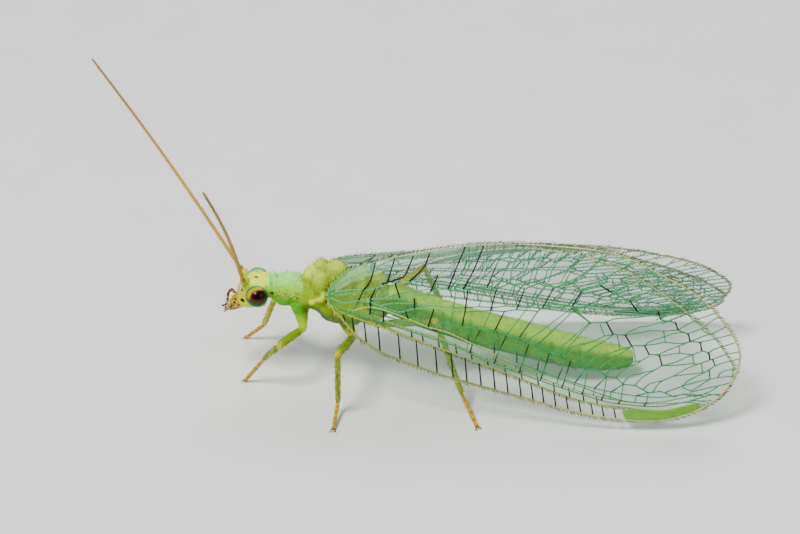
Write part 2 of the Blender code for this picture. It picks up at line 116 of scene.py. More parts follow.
# %% [markdown]
# ## Camera
# The photograph looks at the insect's left side from 32 degrees above, with a long lens. The camera
# stands 150 mm away, on a line through a point above the thorax.

# %% Camera
CAMERA_RISE = math.radians(32)
CAMERA_DISTANCE = 150.0
CAMERA_LENS = 182.25
CAMERA_SENSOR = 36
LOOK_AT = Vector((0, 0, 4.891))
VIEW_WAY = Vector((0, math.cos(CAMERA_RISE), -math.sin(CAMERA_RISE)))
deselect()
bpy.ops.object.camera_add(
    location=(LOOK_AT - VIEW_WAY * CAMERA_DISTANCE + SHIFT) * MM,
    rotation=(math.pi / 2 - CAMERA_RISE, 0, 0),
)
camera = bpy.context.object
camera.data.lens = CAMERA_LENS
camera.data.sensor_width = CAMERA_SENSOR
camera.data.clip_start = 0.01
bpy.context.scene.camera = camera
print("camera at", tuple(round(number, 4) for number in camera.location))

# %% [markdown]
# ## Colours and finishes
# Colours are written as they look on paper and turned into the linear numbers that a shader works
# with. A finish starts from the Principled shader. Its fine grain comes from noise in the piece's
# own coordinates, which are metres, so a grain of a tenth of a millimetre has a scale of 10,000.
# The noise also moves the roughness a little, because nothing alive is evenly glossy.

# %% Colours and finishes
PER_MM = 1000


def colour(code):
    """Turn a six-figure colour code into linear red, green, blue and a full alpha."""
    parts = [int(code[start:start + 2], 16) / 255 for start in (0, 2, 4)]
    linear = [part / 12.92 if part <= 0.04045 else ((part + 0.055) / 1.055) ** 2.4 for part in parts]
    return (*linear, 1.0)


def node(material, kind, **settings):
    """Add a shader node and set what it is told."""
    made = material.node_tree.nodes.new("ShaderNode" + kind)
    for key, value in settings.items():
        setattr(made, key, value)
    return made


def wire(material, start, end):
    """Join an output to an input."""
    material.node_tree.links.new(start, end)


def finish(name, roughness, grain_mm, bump_mm, **sockets):
    """Make a Principled finish with a fine grain in its bump and its roughness."""
    material = bpy.data.materials.new(name)
    material.use_nodes = True
    shader = material.node_tree.nodes["Principled BSDF"]
    for socket, value in sockets.items():
        shader.inputs[socket.replace("_", " ")].default_value = value
    place = node(material, "TexCoord")
    noise = node(material, "TexNoise")
    noise.inputs["Scale"].default_value = PER_MM / grain_mm
    noise.inputs["Detail"].default_value = 3
    wire(material, place.outputs["Object"], noise.inputs["Vector"])
    spread = node(material, "MapRange")
    spread.inputs["To Min"].default_value = roughness * 0.75
    spread.inputs["To Max"].default_value = roughness * 1.25
    wire(material, noise.outputs["Fac"], spread.inputs["Value"])
    wire(material, spread.outputs["Result"], shader.inputs["Roughness"])
    bump = node(material, "Bump")
    bump.inputs["Strength"].default_value = 0.6
    bump.inputs["Distance"].default_value = bump_mm * MM
    wire(material, noise.outputs["Fac"], bump.inputs["Height"])
    wire(material, bump.outputs["Normal"], shader.inputs["Normal"])
    return material


def object_noise(material, size_mm, detail=2):
    """Add a noise of a given grain size in the piece's own coordinates."""
    place = node(material, "TexCoord")
    noise = node(material, "TexNoise")
    noise.inputs["Scale"].default_value = PER_MM / size_mm
    noise.inputs["Detail"].default_value = detail
    wire(material, place.outputs["Object"], noise.inputs["Vector"])
    return noise.outputs["Fac"]


def mix(material, share, first, second, blend="MIX"):
    """Mix two colours, each an output or plain numbers, and return the result."""
    mixer = node(material, "Mix", data_type="RGBA", blend_type=blend)
    for value, socket in ((share, mixer.inputs[0]), (first, mixer.inputs[6]), (second, mixer.inputs[7])):
        if isinstance(value, bpy.types.NodeSocket):
            wire(material, value, socket)
        else:
            socket.default_value = value
    return mixer.outputs[2]


def smooth_share(material, value, low, high):
    """Return a smooth rise of a number from 0 at low to 1 at high."""
    rise = node(material, "MapRange", interpolation_type="SMOOTHSTEP")
    rise.inputs["From Min"].default_value = low
    rise.inputs["From Max"].default_value = high
    wire(material, value, rise.inputs["Value"])
    return rise.outputs["Result"]


def base_of(material):
    """Return the input that takes a finish's colour."""
    return material.node_tree.nodes["Principled BSDF"].inputs["Base Color"]


def tinted(name, roughness, grain_mm, bump_mm, unevenness=0.25, **sockets):
    """Make a finish that takes its colour from the piece's own tint, a little uneven as in life."""
    material = finish(name, roughness, grain_mm, bump_mm, **sockets)
    tint = node(material, "Attribute", attribute_name="tint")
    patch = node(material, "MapRange")
    patch.inputs["To Min"].default_value = 1 - unevenness
    patch.inputs["To Max"].default_value = 1 + unevenness
    wire(material, object_noise(material, grain_mm * 3), patch.inputs["Value"])
    shade = mix(material, 1.0, tint.outputs["Color"], patch.outputs["Result"], "MULTIPLY")
    wire(material, shade, base_of(material))
    return material


def paint(piece, colours):
    """Keep one colour for each vertex as the piece's tint."""
    layer = piece.data.color_attributes.new("tint", "FLOAT_COLOR", "POINT")
    layer.data.foreach_set("color", np.asarray(colours, dtype=np.float32).ravel())


def vertex_places(piece):
    """Return a piece's vertices as an array."""
    places = np.empty(len(piece.data.vertices) * 3)
    piece.data.vertices.foreach_get("co", places)
    return places.reshape(-1, 3)


def step_up(values, low, high):
    """Return 0 below low, 1 above high, and a smooth rise between them."""
    share = np.clip((np.asarray(values, dtype=float) - low) / (high - low), 0, 1)
    return share * share * (3 - 2 * share)


def blend(first, second, share):
    """Mix two colours, or arrays of colours, by a share for each vertex."""
    share = np.asarray(share)[..., None]
    return np.asarray(first) * (1 - share) + np.asarray(second) * share


print("colour helpers ready")

# %% [markdown]
# ## Floor and light
# The insect stands on a plain pale floor under soft studio light. The lamps are wide for the size of
# the subject, so shadows are soft and the wings' gloss is broad. A lamp behind and above lets light
# through the wings. The floor has a faint mottle, as a sheet of matt card has.

# %% Floor
FLOOR_SIZE = 3
deselect()
bpy.ops.mesh.primitive_plane_add(size=FLOOR_SIZE, location=(0, 0, 0))
bpy.ops.object.mode_set(mode="EDIT")
bpy.ops.mesh.subdivide(number_cuts=3)
bpy.ops.object.mode_set(mode="OBJECT")
floor = bpy.context.object
floor.name = "floor"
card = finish("matt_card", 0.85, 0.6, 0.004, Specular_IOR_Level=0.2)
wire(card, mix(card, object_noise(card, 3.0), colour("eceee9"), colour("f4f5f1")), base_of(card))
floor.data.materials.append(card)

# %% Lamps
LAMPS = {
    "key": ((-45, -60, 130), 46, 0.27),
    "fill": ((95, -70, 70), 90, 0.03),
    "back": ((30, 90, 95), 80, 0.08),
}
LAMP_AIM = Vector((0, 0, 3))
SKY_TINT = "dfe6ea"
SKY_STRENGTH = 0.30
for lamp_name, (place, width, power) in LAMPS.items():
    aim = (LAMP_AIM - Vector(place)).to_track_quat("-Z", "Y").to_euler()
    bpy.ops.object.light_add(type="AREA", location=(Vector(place) + SHIFT) * MM, rotation=aim)
    lamp = bpy.context.object
    lamp.name = lamp_name
    lamp.data.shape = "DISK"
    lamp.data.size = width * MM
    lamp.data.energy = power
world = bpy.data.worlds.new("studio")
bpy.context.scene.world = world
world.use_nodes = True
sky = world.node_tree.nodes["Background"]
sky.inputs["Color"].default_value = colour(SKY_TINT)
sky.inputs["Strength"].default_value = SKY_STRENGTH
print("lamps:", len(LAMPS))

# %% [markdown]
# ## Drawing out a limb
# A leg or a feeler is a row of rings. By hand you add a circle, extrude it, turn it to face along the
# limb and scale it, ring by ring, and that is what `limb` does. With no window the rotate operator
# turns the other way, so it is given the opposite angle. A smooth curve through a few given
# rows gives the rings between them.

# %% Limbs and lumps
def smooth_rows(rows, steps):
    """Return rows with a smooth curve's rows added between them."""
    rows = np.asarray(rows, dtype=float)
    padded = np.vstack([2 * rows[0] - rows[1], rows, 2 * rows[-1] - rows[-2]])
    made = []
    for index in range(len(rows) - 1):
        before, start, end, after = padded[index:index + 4]
        for step in range(steps):
            t = step / steps
            bend = (2 * before - 5 * start + 4 * end - after) * t * t
            curl = (3 * (start - end) + after - before) * t * t * t
            made.append((2 * start + (end - before) * t + bend + curl) / 2)
    made.append(rows[-1])
    return np.array(made)


def turn(quaternion, centre):
    """Turn what is selected about a centre."""
    for axis, angle in zip("XYZ", quaternion.to_euler("XYZ")):
        if abs(angle) > 0.0001:
            bpy.ops.transform.rotate(value=-angle, orient_axis=axis, center_override=centre)


def limb(places, radii, sides=12):
    """Extrude a circle through places, facing along them, with a radius for each."""
    deselect()
    places = [Vector(place) for place in places]
    last = len(places) - 1
    ways = [(places[min(i + 1, last)] - places[max(i - 1, 0)]).normalized() for i in range(last + 1)]
    facing = ways[0].to_track_quat("Z", "Y").to_euler()
    bpy.ops.mesh.primitive_circle_add(
        vertices=sides, radius=radii[0], fill_type="NGON", location=places[0], rotation=facing
    )
    bpy.ops.object.mode_set(mode="EDIT")
    bpy.ops.mesh.select_all(action="SELECT")
    for index in range(1, last + 1):
        stride = places[index] - places[index - 1]
        bpy.ops.mesh.extrude_region_move(TRANSFORM_OT_translate={"value": stride})
        turn(ways[index - 1].rotation_difference(ways[index]), places[index])
        growth = radii[index] / radii[index - 1]
        bpy.ops.transform.resize(value=(growth, growth, growth), center_override=places[index])
    bpy.ops.mesh.select_all(action="SELECT")
    bpy.ops.mesh.normals_make_consistent(inside=False)
    bpy.ops.object.mode_set(mode="OBJECT")
    bpy.ops.object.transform_apply(location=True, rotation=True, scale=True)
    return bpy.context.object


def spindle(start, end, radii, sides=12, overlap=0.5):
    """Draw out one round-ended length between two points, with radii spread evenly along it."""
    start = Vector(start)
    end = Vector(end)
    length = (end - start).length
    first = -radii[0] * overlap / length
    last = 1 + radii[-1] * overlap / length
    shares = [0.0, 0.03, 0.10, 0.25, 0.40, 0.55, 0.70, 0.82, 0.92, 0.97, 1.0]
    rounding = [0.35, 0.68, 0.95, 1, 1, 1, 1, 1, 0.95, 0.68, 0.35]
    spread = np.interp(shares, np.linspace(0, 1, len(radii)), radii)
    places = [start.lerp(end, first + (last - first) * share) for share in shares]
    return limb(places, [float(a * b) for a, b in zip(spread, rounding)], sides)


def lump(centre, radii, tilt=(0, 0, 0)):
    """Add one rounded lump, a stretched ball, with its tilt in degrees."""
    deselect()
    turned = [math.radians(angle) for angle in tilt]
    bpy.ops.mesh.primitive_uv_sphere_add(
        segments=24, ring_count=14, radius=1, location=centre, rotation=turned, scale=radii
    )
    bpy.ops.object.transform_apply(location=True, rotation=True, scale=True)
    return bpy.context.object


def join(pieces):
    """Join pieces into the first of them."""
    deselect()
    for piece in pieces:
        piece.select_set(True)
    bpy.context.view_layer.objects.active = pieces[0]
    if len(pieces) > 1:
        bpy.ops.object.join()
    return bpy.context.object


def new_piece(name, points, faces):
    """Make an object from an array of points and a list of faces."""
    mesh = bpy.data.meshes.new(name)
    mesh.from_pydata(points.tolist(), [], faces)
    piece = bpy.data.objects.new(name, mesh)
    bpy.context.collection.objects.link(piece)
    return piece


print("limb helpers ready")

# %% [markdown]
# ## The trunk
# The body is a soft tube with a thin neck, a broad boxy thorax, a waist, and a slim abdomen of nine
# rings. Each row gives the tube's height above the ground, its half width and half height at one
# place along the body. The abdomen's rings overlap like the plates of a telescope: each swells a
# little toward its rear edge and tucks in just behind it.

# %% Trunk rows
THORAX_ROWS = (
    (-5.05, 4.00, 0.30, 0.34), (-4.86, 3.97, 0.34, 0.36), (-4.75, 3.98, 0.40, 0.42),
    (-4.58, 3.98, 0.46, 0.50), (-4.42, 3.97, 0.55, 0.58), (-4.15, 3.95, 0.57, 0.60),
    (-3.88, 3.93, 0.60, 0.63), (-3.70, 3.90, 0.57, 0.60), (-3.56, 3.88, 0.62, 0.64),
    (-3.36, 3.90, 0.72, 0.68), (-3.10, 3.90, 0.82, 0.80), (-2.78, 3.84, 0.88, 1.06),
    (-2.48, 3.77, 0.92, 1.20), (-2.17, 3.72, 0.91, 1.17), (-1.90, 3.66, 0.87, 1.07),
    (-1.56, 3.60, 0.87, 1.00), (-1.30, 3.58, 0.87, 0.99), (-1.02, 3.55, 0.84, 0.95),
    (-0.76, 3.52, 0.74, 0.86), (-0.58, 3.50, 0.60, 0.70), (-0.44, 3.48, 0.52, 0.60),
)
ABDOMEN_ROWS = (
    (-0.44, 3.48, 0.50, 0.58), (0.12, 3.34, 0.60, 0.67), (0.95, 2.98, 0.65, 0.66),
    (2.99, 2.20, 0.68, 0.68), (4.27, 1.83, 0.69, 0.69), (6.23, 1.25, 0.66, 0.66),
    (7.51, 0.97, 0.56, 0.56), (8.25, 0.90, 0.45, 0.44), (8.60, 0.88, 0.34, 0.32),
    (8.76, 0.88, 0.17, 0.15),
)
RING_COUNT = 9
RING_TUCK = 0.075
RING_SWELL = 0.022
trunk_rows = list(smooth_rows(THORAX_ROWS, 3)[:-1])
abdomen_curve = smooth_rows(ABDOMEN_ROWS, 14)
abdomen_length = ABDOMEN_ROWS[-1][0] - ABDOMEN_ROWS[0][0]
for row in abdomen_curve:
    place = (row[0] - ABDOMEN_ROWS[0][0]) / abdomen_length * RING_COUNT
    share = place - math.floor(place)
    tuck = 1 - RING_TUCK * (1 - float(step_up(share, 0.0, 0.22)))
    tuck += RING_SWELL * float(step_up(share, 0.55, 0.95))
    trunk_rows.append(np.array([row[0], row[1], row[2] * tuck, row[3] * tuck]))
trunk_rows = np.array(trunk_rows)
print("trunk rows:", len(trunk_rows))

# %% Draw out the trunk
deselect()
first_row = trunk_rows[0]
bpy.ops.mesh.primitive_circle_add(
    vertices=40, radius=first_row[2], fill_type="NGON", location=(first_row[0], 0, first_row[1]),
    rotation=(0, math.pi / 2, 0),
)
bpy.ops.object.mode_set(mode="EDIT")
bpy.ops.mesh.select_all(action="SELECT")
bpy.ops.transform.resize(
    value=(1, 1, first_row[3] / first_row[2]), center_override=(first_row[0], 0, first_row[1])
)
for before, row in zip(trunk_rows, trunk_rows[1:]):
    stride = (row[0] - before[0], 0, row[1] - before[1])
    bpy.ops.mesh.extrude_region_move(TRANSFORM_OT_translate={"value": stride})
    bpy.ops.transform.resize(
        value=(1, row[2] / before[2], row[3] / before[3]), center_override=(row[0], 0, row[1])
    )
bpy.ops.mesh.select_all(action="SELECT")
bpy.ops.mesh.normals_make_consistent(inside=False)
bpy.ops.object.mode_set(mode="OBJECT")
bpy.ops.object.transform_apply(location=True, rotation=True, scale=True)
trunk = bpy.context.object
print("trunk size", tuple(round(number, 2) for number in trunk.dimensions))

# %% [markdown]
# ## The thorax's plates
# The wing muscles swell the thorax into pillows: two in front on the middle segment, a shield behind
# them, a smaller pair on the rear segment, and long upright plates down each side to the legs. They
# are rounded lumps sunk into the trunk, and the remesher melts them into one surface later.

# %% Thorax lumps
MIDDLE_LUMPS = (
    ((-4.85, 0, 4.20), (0.09, 0.43, 0.46), (0, 0, 0)),
    ((-4.65, 0, 4.17), (0.09, 0.47, 0.48), (0, 0, 0)),
    ((-4.14, 0, 4.16), (0.42, 0.49, 0.48), (0, 0, 0)),
    ((-3.28, 0, 4.52), (0.34, 0.42, 0.38), (0, 0, 0)),
    ((-2.42, 0, 4.67), (0.50, 0.50, 0.44), (0, 0, 0)),
    ((-0.80, 0, 4.20), (0.34, 0.46, 0.42), (0, 0, 0)),
    ((-2.45, 0, 2.92), (0.55, 0.50, 0.34), (0, 4, 0)),
    ((-1.28, 0, 2.86), (0.46, 0.50, 0.28), (0, 8, 0)),
)
PAIRED_LUMPS = (
    ((-2.92, 0.46, 4.46), (0.37, 0.50, 0.45), (0, 10, 0)),
    ((-1.90, 0.40, 4.24), (0.25, 0.40, 0.40), (0, 0, 0)),
    ((-1.42, 0.38, 4.26), (0.29, 0.42, 0.41), (0, 0, 0)),
    ((-3.00, 1.00, 4.09), (0.29, 0.15, 0.11), (0, -14, 35)),
    ((-3.25, 1.13, 4.07), (0.15, 0.14, 0.12), (0, -8, 35)),
    ((-2.74, 0.96, 4.26), (0.16, 0.13, 0.09), (0, 0, 0)),
    ((-1.30, 0.94, 4.04), (0.22, 0.16, 0.11), (0, 0, 20)),
    ((-4.30, 0.40, 3.80), (0.38, 0.20, 0.34), (0, 0, 0)),
    ((-3.62, 0.42, 3.62), (0.22, 0.24, 0.28), (0, 0, 0)),
    ((-2.78, 0.72, 3.60), (0.24, 0.24, 0.56), (0, -26, 0)),
    ((-2.26, 0.74, 3.46), (0.25, 0.24, 0.66), (0, -20, 0)),
    ((-1.74, 0.72, 3.36), (0.22, 0.22, 0.58), (0, -16, 0)),
    ((-1.18, 0.68, 3.30), (0.28, 0.22, 0.54), (0, -12, 0)),
)
flesh = [trunk]


def add_lumps(middle, pairs):
    """Add the lumps on the middle plane, then the ones that come in pairs, left and right."""
    for centre, radii, tilt in middle:
        flesh.append(lump(centre, radii, tilt))
    for (along, across, up), radii, (roll, pitch, yaw) in pairs:
        for side in SIDES.values():
            flesh.append(lump((along, side * across, up), radii, (roll, pitch, side * yaw)))


add_lumps(MIDDLE_LUMPS, PAIRED_LUMPS)
print("thorax lumps:", len(flesh) - 1)

# %% [markdown]
# ## The head
# The head is a short capsule seen from the front: a domed crown between two round eyes, a bulging
# brow below the feelers, full cheeks, and a blunt snout that carries the mouth. Each eye sits in a
# raised rim, and each feeler in a small ring. The rims are turned rings, added as tori.

# %% Head lumps
HEAD_MIDDLE = (
    ((-5.34, 0, 3.98), (0.54, 0.56, 0.64), (0, 0, 0)),
    ((-5.18, 0, 4.28), (0.44, 0.46, 0.26), (0, -6, 0)),
    ((-5.74, 0, 3.92), (0.30, 0.40, 0.40), (0, 8, 0)),
    ((-5.86, 0, 3.62), (0.28, 0.34, 0.26), (0, 24, 0)),
    ((-6.06, 0, 3.46), (0.24, 0.27, 0.18), (0, 30, 0)),
    ((-6.24, 0, 3.36), (0.14, 0.20, 0.12), (0, 30, 0)),
)
HEAD_PAIRS = (
    ((-5.16, 0.20, 4.30), (0.36, 0.22, 0.25), (0, -6, 0)),
    ((-5.56, 0.40, 3.64), (0.28, 0.17, 0.26), (0, 25, 0)),
    ((-5.76, 0.28, 3.54), (0.28, 0.17, 0.20), (0, 20, 0)),
    ((-5.98, 0.24, 3.40), (0.20, 0.09, 0.14), (0, 25, 0)),
    ((-5.12, 0.42, 3.86), (0.22, 0.18, 0.44), (0, 0, 0)),
    ((-5.60, 0.17, 4.32), (0.17, 0.16, 0.17), (0, 0, 0)),
    ((-5.48, 0.34, 4.26), (0.20, 0.16, 0.16), (0, 0, 0)),
)
add_lumps(HEAD_MIDDLE, HEAD_PAIRS)
EYE_RADIUS = 0.42
EYE_MIDDLE = Vector((-5.30, 0.62, 4.01))
RIM_OUT = 0.50
RIM_THICK = 0.042
for side in SIDES.values():
    bpy.ops.mesh.primitive_torus_add(
        major_radius=EYE_RADIUS - 0.025, minor_radius=RIM_THICK, major_segments=32, minor_segments=10,
        location=(EYE_MIDDLE.x, side * RIM_OUT, EYE_MIDDLE.z), rotation=(math.pi / 2, 0, 0),
    )
    bpy.ops.object.transform_apply(location=True, rotation=True, scale=True)
    flesh.append(bpy.context.object)
print("flesh pieces:", len(flesh))

# %% [markdown]
# ## The legs
# A lacewing's leg has a short cone at the hip, a small ring below it, a long slim thigh, a thinner
# shin, and a foot of five little joints. Each row gives the places of hip, ring, knee, ankle and toe.
# Hips and rings melt into the body. The rest is fused on afterwards, because thin feet would lose
# their shape in the remesher.

# %% Leg places
LEG_JOINTS = {
    "front_left": ((-3.68, -0.42, 3.20), (-3.60, -0.66, 2.62), (-4.48, -1.45, 2.36), (-5.08, -0.80, 1.34),
                   (-5.80, -0.36, 0.10)),
    "front_right": ((-3.78, 0.42, 3.20), (-3.54, 0.66, 2.62), (-4.66, 1.70, 2.60), (-5.18, 2.30, 0.86),
                    (-5.85, 2.62, 0.10)),
    "mid_left": ((-1.95, -0.56, 2.74), (-1.74, -0.86, 2.36), (-2.29, -3.08, 3.04), (-2.30, -2.50, 0.54),
                 (-2.46, -3.62, 0.10)),
    "mid_right": ((-1.95, 0.56, 2.74), (-1.74, 0.86, 2.36), (-2.20, 3.05, 3.00), (-2.10, 2.60, 0.55),
                  (-2.05, 3.75, 0.10)),
    "hind_left": ((-1.02, -0.48, 3.00), (-0.84, -0.74, 2.84), (1.33, -1.30, 3.36), (2.30, -2.28, 0.74),
                  (2.84, -3.46, 0.10)),
    "hind_right": ((-1.02, 0.48, 3.00), (-0.84, 0.74, 2.84), (0.89, 0.62, 4.50), (2.05, 2.22, 0.76),
                   (2.80, 3.30, 0.10)),
}
HIP_RADII = (0.28, 0.31, 0.24, 0.14)
THIGH_RADII = (0.115, 0.145, 0.155, 0.148, 0.115)
SHIN_RADII = (0.100, 0.110, 0.108, 0.102, 0.104)
FOOT_SHARES = (0.0, 0.36, 0.54, 0.69, 0.82, 1.0)
FOOT_RADII = (0.060, 0.068, 0.078)
HIP_RISE = {
    "front": Vector((-0.16, 0, 0.46)),
    "mid": Vector((-0.08, 0, 0.46)),
    "hind": Vector((-0.06, 0, 0.40)),
}
RING_LUMP = (0.15, 0.15, 0.15)
KNEE_LUMP = (0.112, 0.112, 0.112)
limbs = []
for leg, (hip, ring, knee, ankle, toe) in LEG_JOINTS.items():
    pair, side = leg.split("_")
    hip_top = Vector(hip) + HIP_RISE[pair]
    hip_rows = smooth_rows([hip_top, Vector(hip), Vector(ring)], 4)
    shares = np.linspace(0, 1, len(hip_rows))
    hip_radii = np.interp(shares, np.linspace(0, 1, len(HIP_RADII)), HIP_RADII)
    flesh.append(limb(hip_rows, [float(radius) for radius in hip_radii], 16))
    flesh.append(lump(ring, RING_LUMP))
    limbs.append(spindle(ring, knee, THIGH_RADII, 14, 0.6))
    limbs.append(lump(knee, KNEE_LUMP))
    limbs.append(spindle(knee, ankle, SHIN_RADII, 12, 0.3))
    for begin, stop in zip(FOOT_SHARES, FOOT_SHARES[1:]):
        begin_place = Vector(ankle).lerp(Vector(toe), begin)
        stop_place = Vector(ankle).lerp(Vector(toe), stop)
        limbs.append(spindle(begin_place, stop_place, FOOT_RADII, 10, 0.5))
print("limb pieces:", len(limbs))

# %% [markdown]
# ## One skin
# Now the lumps, the trunk and the hips are joined and remeshed into a single surface, as a sculptor
# joins pellets of clay and smooths them. The legs are fused on with one Boolean union. The result is
# one closed skin from snout to tail, so no seam shows anywhere.

# %% Melt and fuse
VOXEL = 0.042
skin = join(flesh)
modifier = skin.modifiers.new("Melt", "REMESH")
modifier.mode = "VOXEL"
modifier.voxel_size = VOXEL
bpy.ops.object.modifier_apply(modifier="Melt")
modifier = skin.modifiers.new("Smooth", "SMOOTH")
modifier.factor = 0.5
modifier.iterations = 6
bpy.ops.object.modifier_apply(modifier="Smooth")
leg_group = bpy.data.collections.new("limbs")
for piece in limbs:
    leg_group.objects.link(piece)
modifier = skin.modifiers.new("Fuse", "BOOLEAN")
modifier.operation = "UNION"
modifier.operand_type = "COLLECTION"
modifier.collection = leg_group
modifier.solver = "MANIFOLD"
bpy.ops.object.modifier_apply(modifier="Fuse")
for piece in limbs:
    bpy.data.objects.remove(piece)
bpy.data.collections.remove(leg_group)
print("skin:", len(skin.data.vertices), "vertices")

# %% [markdown]
# ## Creases
# The creases between the plates get a painted shade, and the tops of the plates a painted
# highlight. To find the creases we smooth a copy of the skin's points and ask how far the smoothed copy
# stands above or below the skin. The answer is in millimetres, positive in a hollow.

# %% Find the creases
def nearest_on(places, start, end):
    """Return each point's distance from a line and its share of the way along."""
    start = np.array(start, dtype=float)
    way = np.array(end, dtype=float) - start
    share = np.clip((places - start) @ way / (way @ way), 0, 1)
    return np.linalg.norm(places - start - share[:, None] * way, axis=1), share


def hollows(piece, rounds):
    """Return how deep each point lies below its smoothed surroundings."""
    mesh = piece.data
    start = vertex_places(piece)
    pairs = np.empty(len(mesh.edges) * 2, dtype=np.int64)
    mesh.edges.foreach_get("vertices", pairs)
    pairs = pairs.reshape(-1, 2)
    neighbours = np.bincount(pairs.ravel(), minlength=len(start))[:, None]
    softened = start
    for _ in range(rounds):
        total = np.zeros_like(start)
        np.add.at(total, pairs[:, 0], softened[pairs[:, 1]])
        np.add.at(total, pairs[:, 1], softened[pairs[:, 0]])
        softened = total / neighbours
    normals = np.array([normal.vector for normal in mesh.vertex_normals])
    return ((softened - start) * normals).sum(axis=1)


CREASE_ROUNDS = 14
hollow = hollows(skin, CREASE_ROUNDS)
print("deepest crease in mm:", round(float(hollow.max()), 3))

# %% [markdown]
# ## The skin's colours
# A live green lacewing has a yellow head, a fresh green neck, a yellow-green thorax and a grass green
# abdomen, with a broad pale yellow-green band down its back. That pale top is also a painted
# highlight, and the darker belly and underside are painted shade. Thighs and shins are olive green on
# the left legs and yellower on the right ones, knees yellow, feet amber. The tint is worked out for
# each point of the skin from where it lies: how far along the body, how high on its side, how deep in
# a crease, and how near to which stretch of a leg. The tint's fourth number says how much fine brown
# mottling the point has: 1 is none.

# %% Tint the skin
places = vertex_places(skin)
axis_height = np.interp(places[:, 0], trunk_rows[:, 0], trunk_rows[:, 1])
axis_reach = np.interp(places[:, 0], trunk_rows[:, 0], trunk_rows[:, 3])
rise = (places[:, 2] - axis_height) / axis_reach
# The pale top tints are the real back band and also a painted highlight; the low tints are painted shade.
SKIN_TINTS = {
    "thorax_side": colour("8cac00"), "thorax_top_band_and_highlight": colour("d2f040"), "thorax_low_shade": colour("3e6c00"),
    "belly_side": colour("5a9000"), "belly_top_band_and_highlight": colour("b4e030"), "belly_low_shade": colour("306400"),
    "neck_top_band_and_highlight": colour("a0fc70"), "neck_middle": colour("90d824"), "neck_low_shade": colour("4ca600"),
    "neck_side": colour("8cb408"), "head": colour("b8cc00"), "face": colour("c4c800"),
    "crown": colour("f2fa00"), "snout": colour("c0a000"), "hip": colour("b4c800"),
    "thigh": colour("789200"), "knee": colour("c0b800"), "shin": colour("7c9400"),
    # The crease tint is painted shade; the knob tint is a painted highlight on the plates' tops and also
    # draws a pale line along each wing-root knob.
    "foot": colour("cc9a04"), "fold": colour("3c6c00"), "crease": colour("8c8800"),
    "knob": colour("dcec30"),
}
KNOB_LINE = ((-3.34, 1.22, 4.12), (-2.70, 0.98, 4.36))


def tinted_by(first, second, share):
    """Blend a plain colour, or colours, toward a second one."""
    return blend(np.tile(first, (len(places), 1)) if np.ndim(first) == 1 else first, second, share)


# Painted light: paler toward the top of the thorax and belly, partly the real back band and partly
# painted highlight, and darker underneath, a painted shade.
thorax = tinted_by(SKIN_TINTS["thorax_side"], SKIN_TINTS["thorax_top_band_and_highlight"], step_up(rise, 0.85, 1.35))
thorax = tinted_by(thorax, SKIN_TINTS["thorax_low_shade"], step_up(-rise, 0.15, 0.65))
belly = tinted_by(SKIN_TINTS["belly_side"], SKIN_TINTS["belly_top_band_and_highlight"], step_up(rise, 0.45, 0.85))
belly = tinted_by(belly, SKIN_TINTS["belly_low_shade"], step_up(-rise, 0.2, 0.7))
ring_place = (places[:, 0] - ABDOMEN_ROWS[0][0]) / abdomen_length * RING_COUNT
ring_share = ring_place - np.floor(ring_place)
fold_share = (1 - step_up(np.minimum(ring_share, 1 - ring_share), 0.0, 0.10)) * 0.5
belly = tinted_by(belly, SKIN_TINTS["fold"], fold_share * (ring_place > 0.3) * (rise < 0.75))
# The neck likewise: darker underneath as painted shade, and paler on top as the real band and a painted
# highlight.
neck = tinted_by(SKIN_TINTS["neck_low_shade"], SKIN_TINTS["neck_side"], step_up(rise, -0.20, 0.10))
neck = tinted_by(neck, SKIN_TINTS["neck_middle"], step_up(rise, 0.10, 0.45))
neck = tinted_by(neck, SKIN_TINTS["neck_top_band_and_highlight"], step_up(rise, 0.35, 1.05))
tints = tinted_by(thorax, belly, step_up(places[:, 0], -0.75, -0.25))
tints = tinted_by(neck, tints, step_up(places[:, 0], -3.74, -3.52))
head_tint = tinted_by(SKIN_TINTS["head"], SKIN_TINTS["crown"], step_up(places[:, 2], 4.16, 4.40))
head_tint = tinted_by(head_tint, SKIN_TINTS["face"], step_up(-places[:, 0], 5.5, 5.8))
head_tint = tinted_by(head_tint, SKIN_TINTS["snout"], step_up(-places[:, 0], 5.92, 6.12))
tints = tinted_by(head_tint, tints, step_up(places[:, 0], -4.96, -4.86))
before_waist = places[:, 0] < -0.4
# Painted shade: olive in the creases, more the deeper the crease.
tints = tinted_by(tints, SKIN_TINTS["crease"], step_up(hollow, 0.004, 0.030) * 0.55 * before_waist)
# Painted highlight: paler tops on the plates in front of the waist.
plates = (rise > 0.0) & before_waist
tints = tinted_by(tints, SKIN_TINTS["knob"], step_up(-hollow, 0.020, 0.060) * 0.35 * plates)
folded_places = np.stack([places[:, 0], np.abs(places[:, 1]), places[:, 2]], axis=1)
knob_off = nearest_on(folded_places, *KNOB_LINE)[0]
tints = tinted_by(tints, SKIN_TINTS["knob"], (1 - step_up(knob_off, 0.06, 0.17)) * 0.75)
neck_length = step_up(places[:, 0], -4.66, -4.50) * step_up(-places[:, 0], 3.55, 3.75)
mottle = neck_length * (1 - step_up(np.abs(rise - 0.04), 0.12, 0.40))
mottle = np.maximum(mottle, step_up(-places[:, 0], 5.94, 6.06) * (places[:, 2] > 3.0))
upper_plates = step_up(rise, 0.2, 0.5) * (places[:, 0] > -4.7) * (places[:, 0] < -0.5)
mottle = np.maximum(mottle, 0.35 * upper_plates)
print("mottled points:", int((mottle > 0.5).sum()))

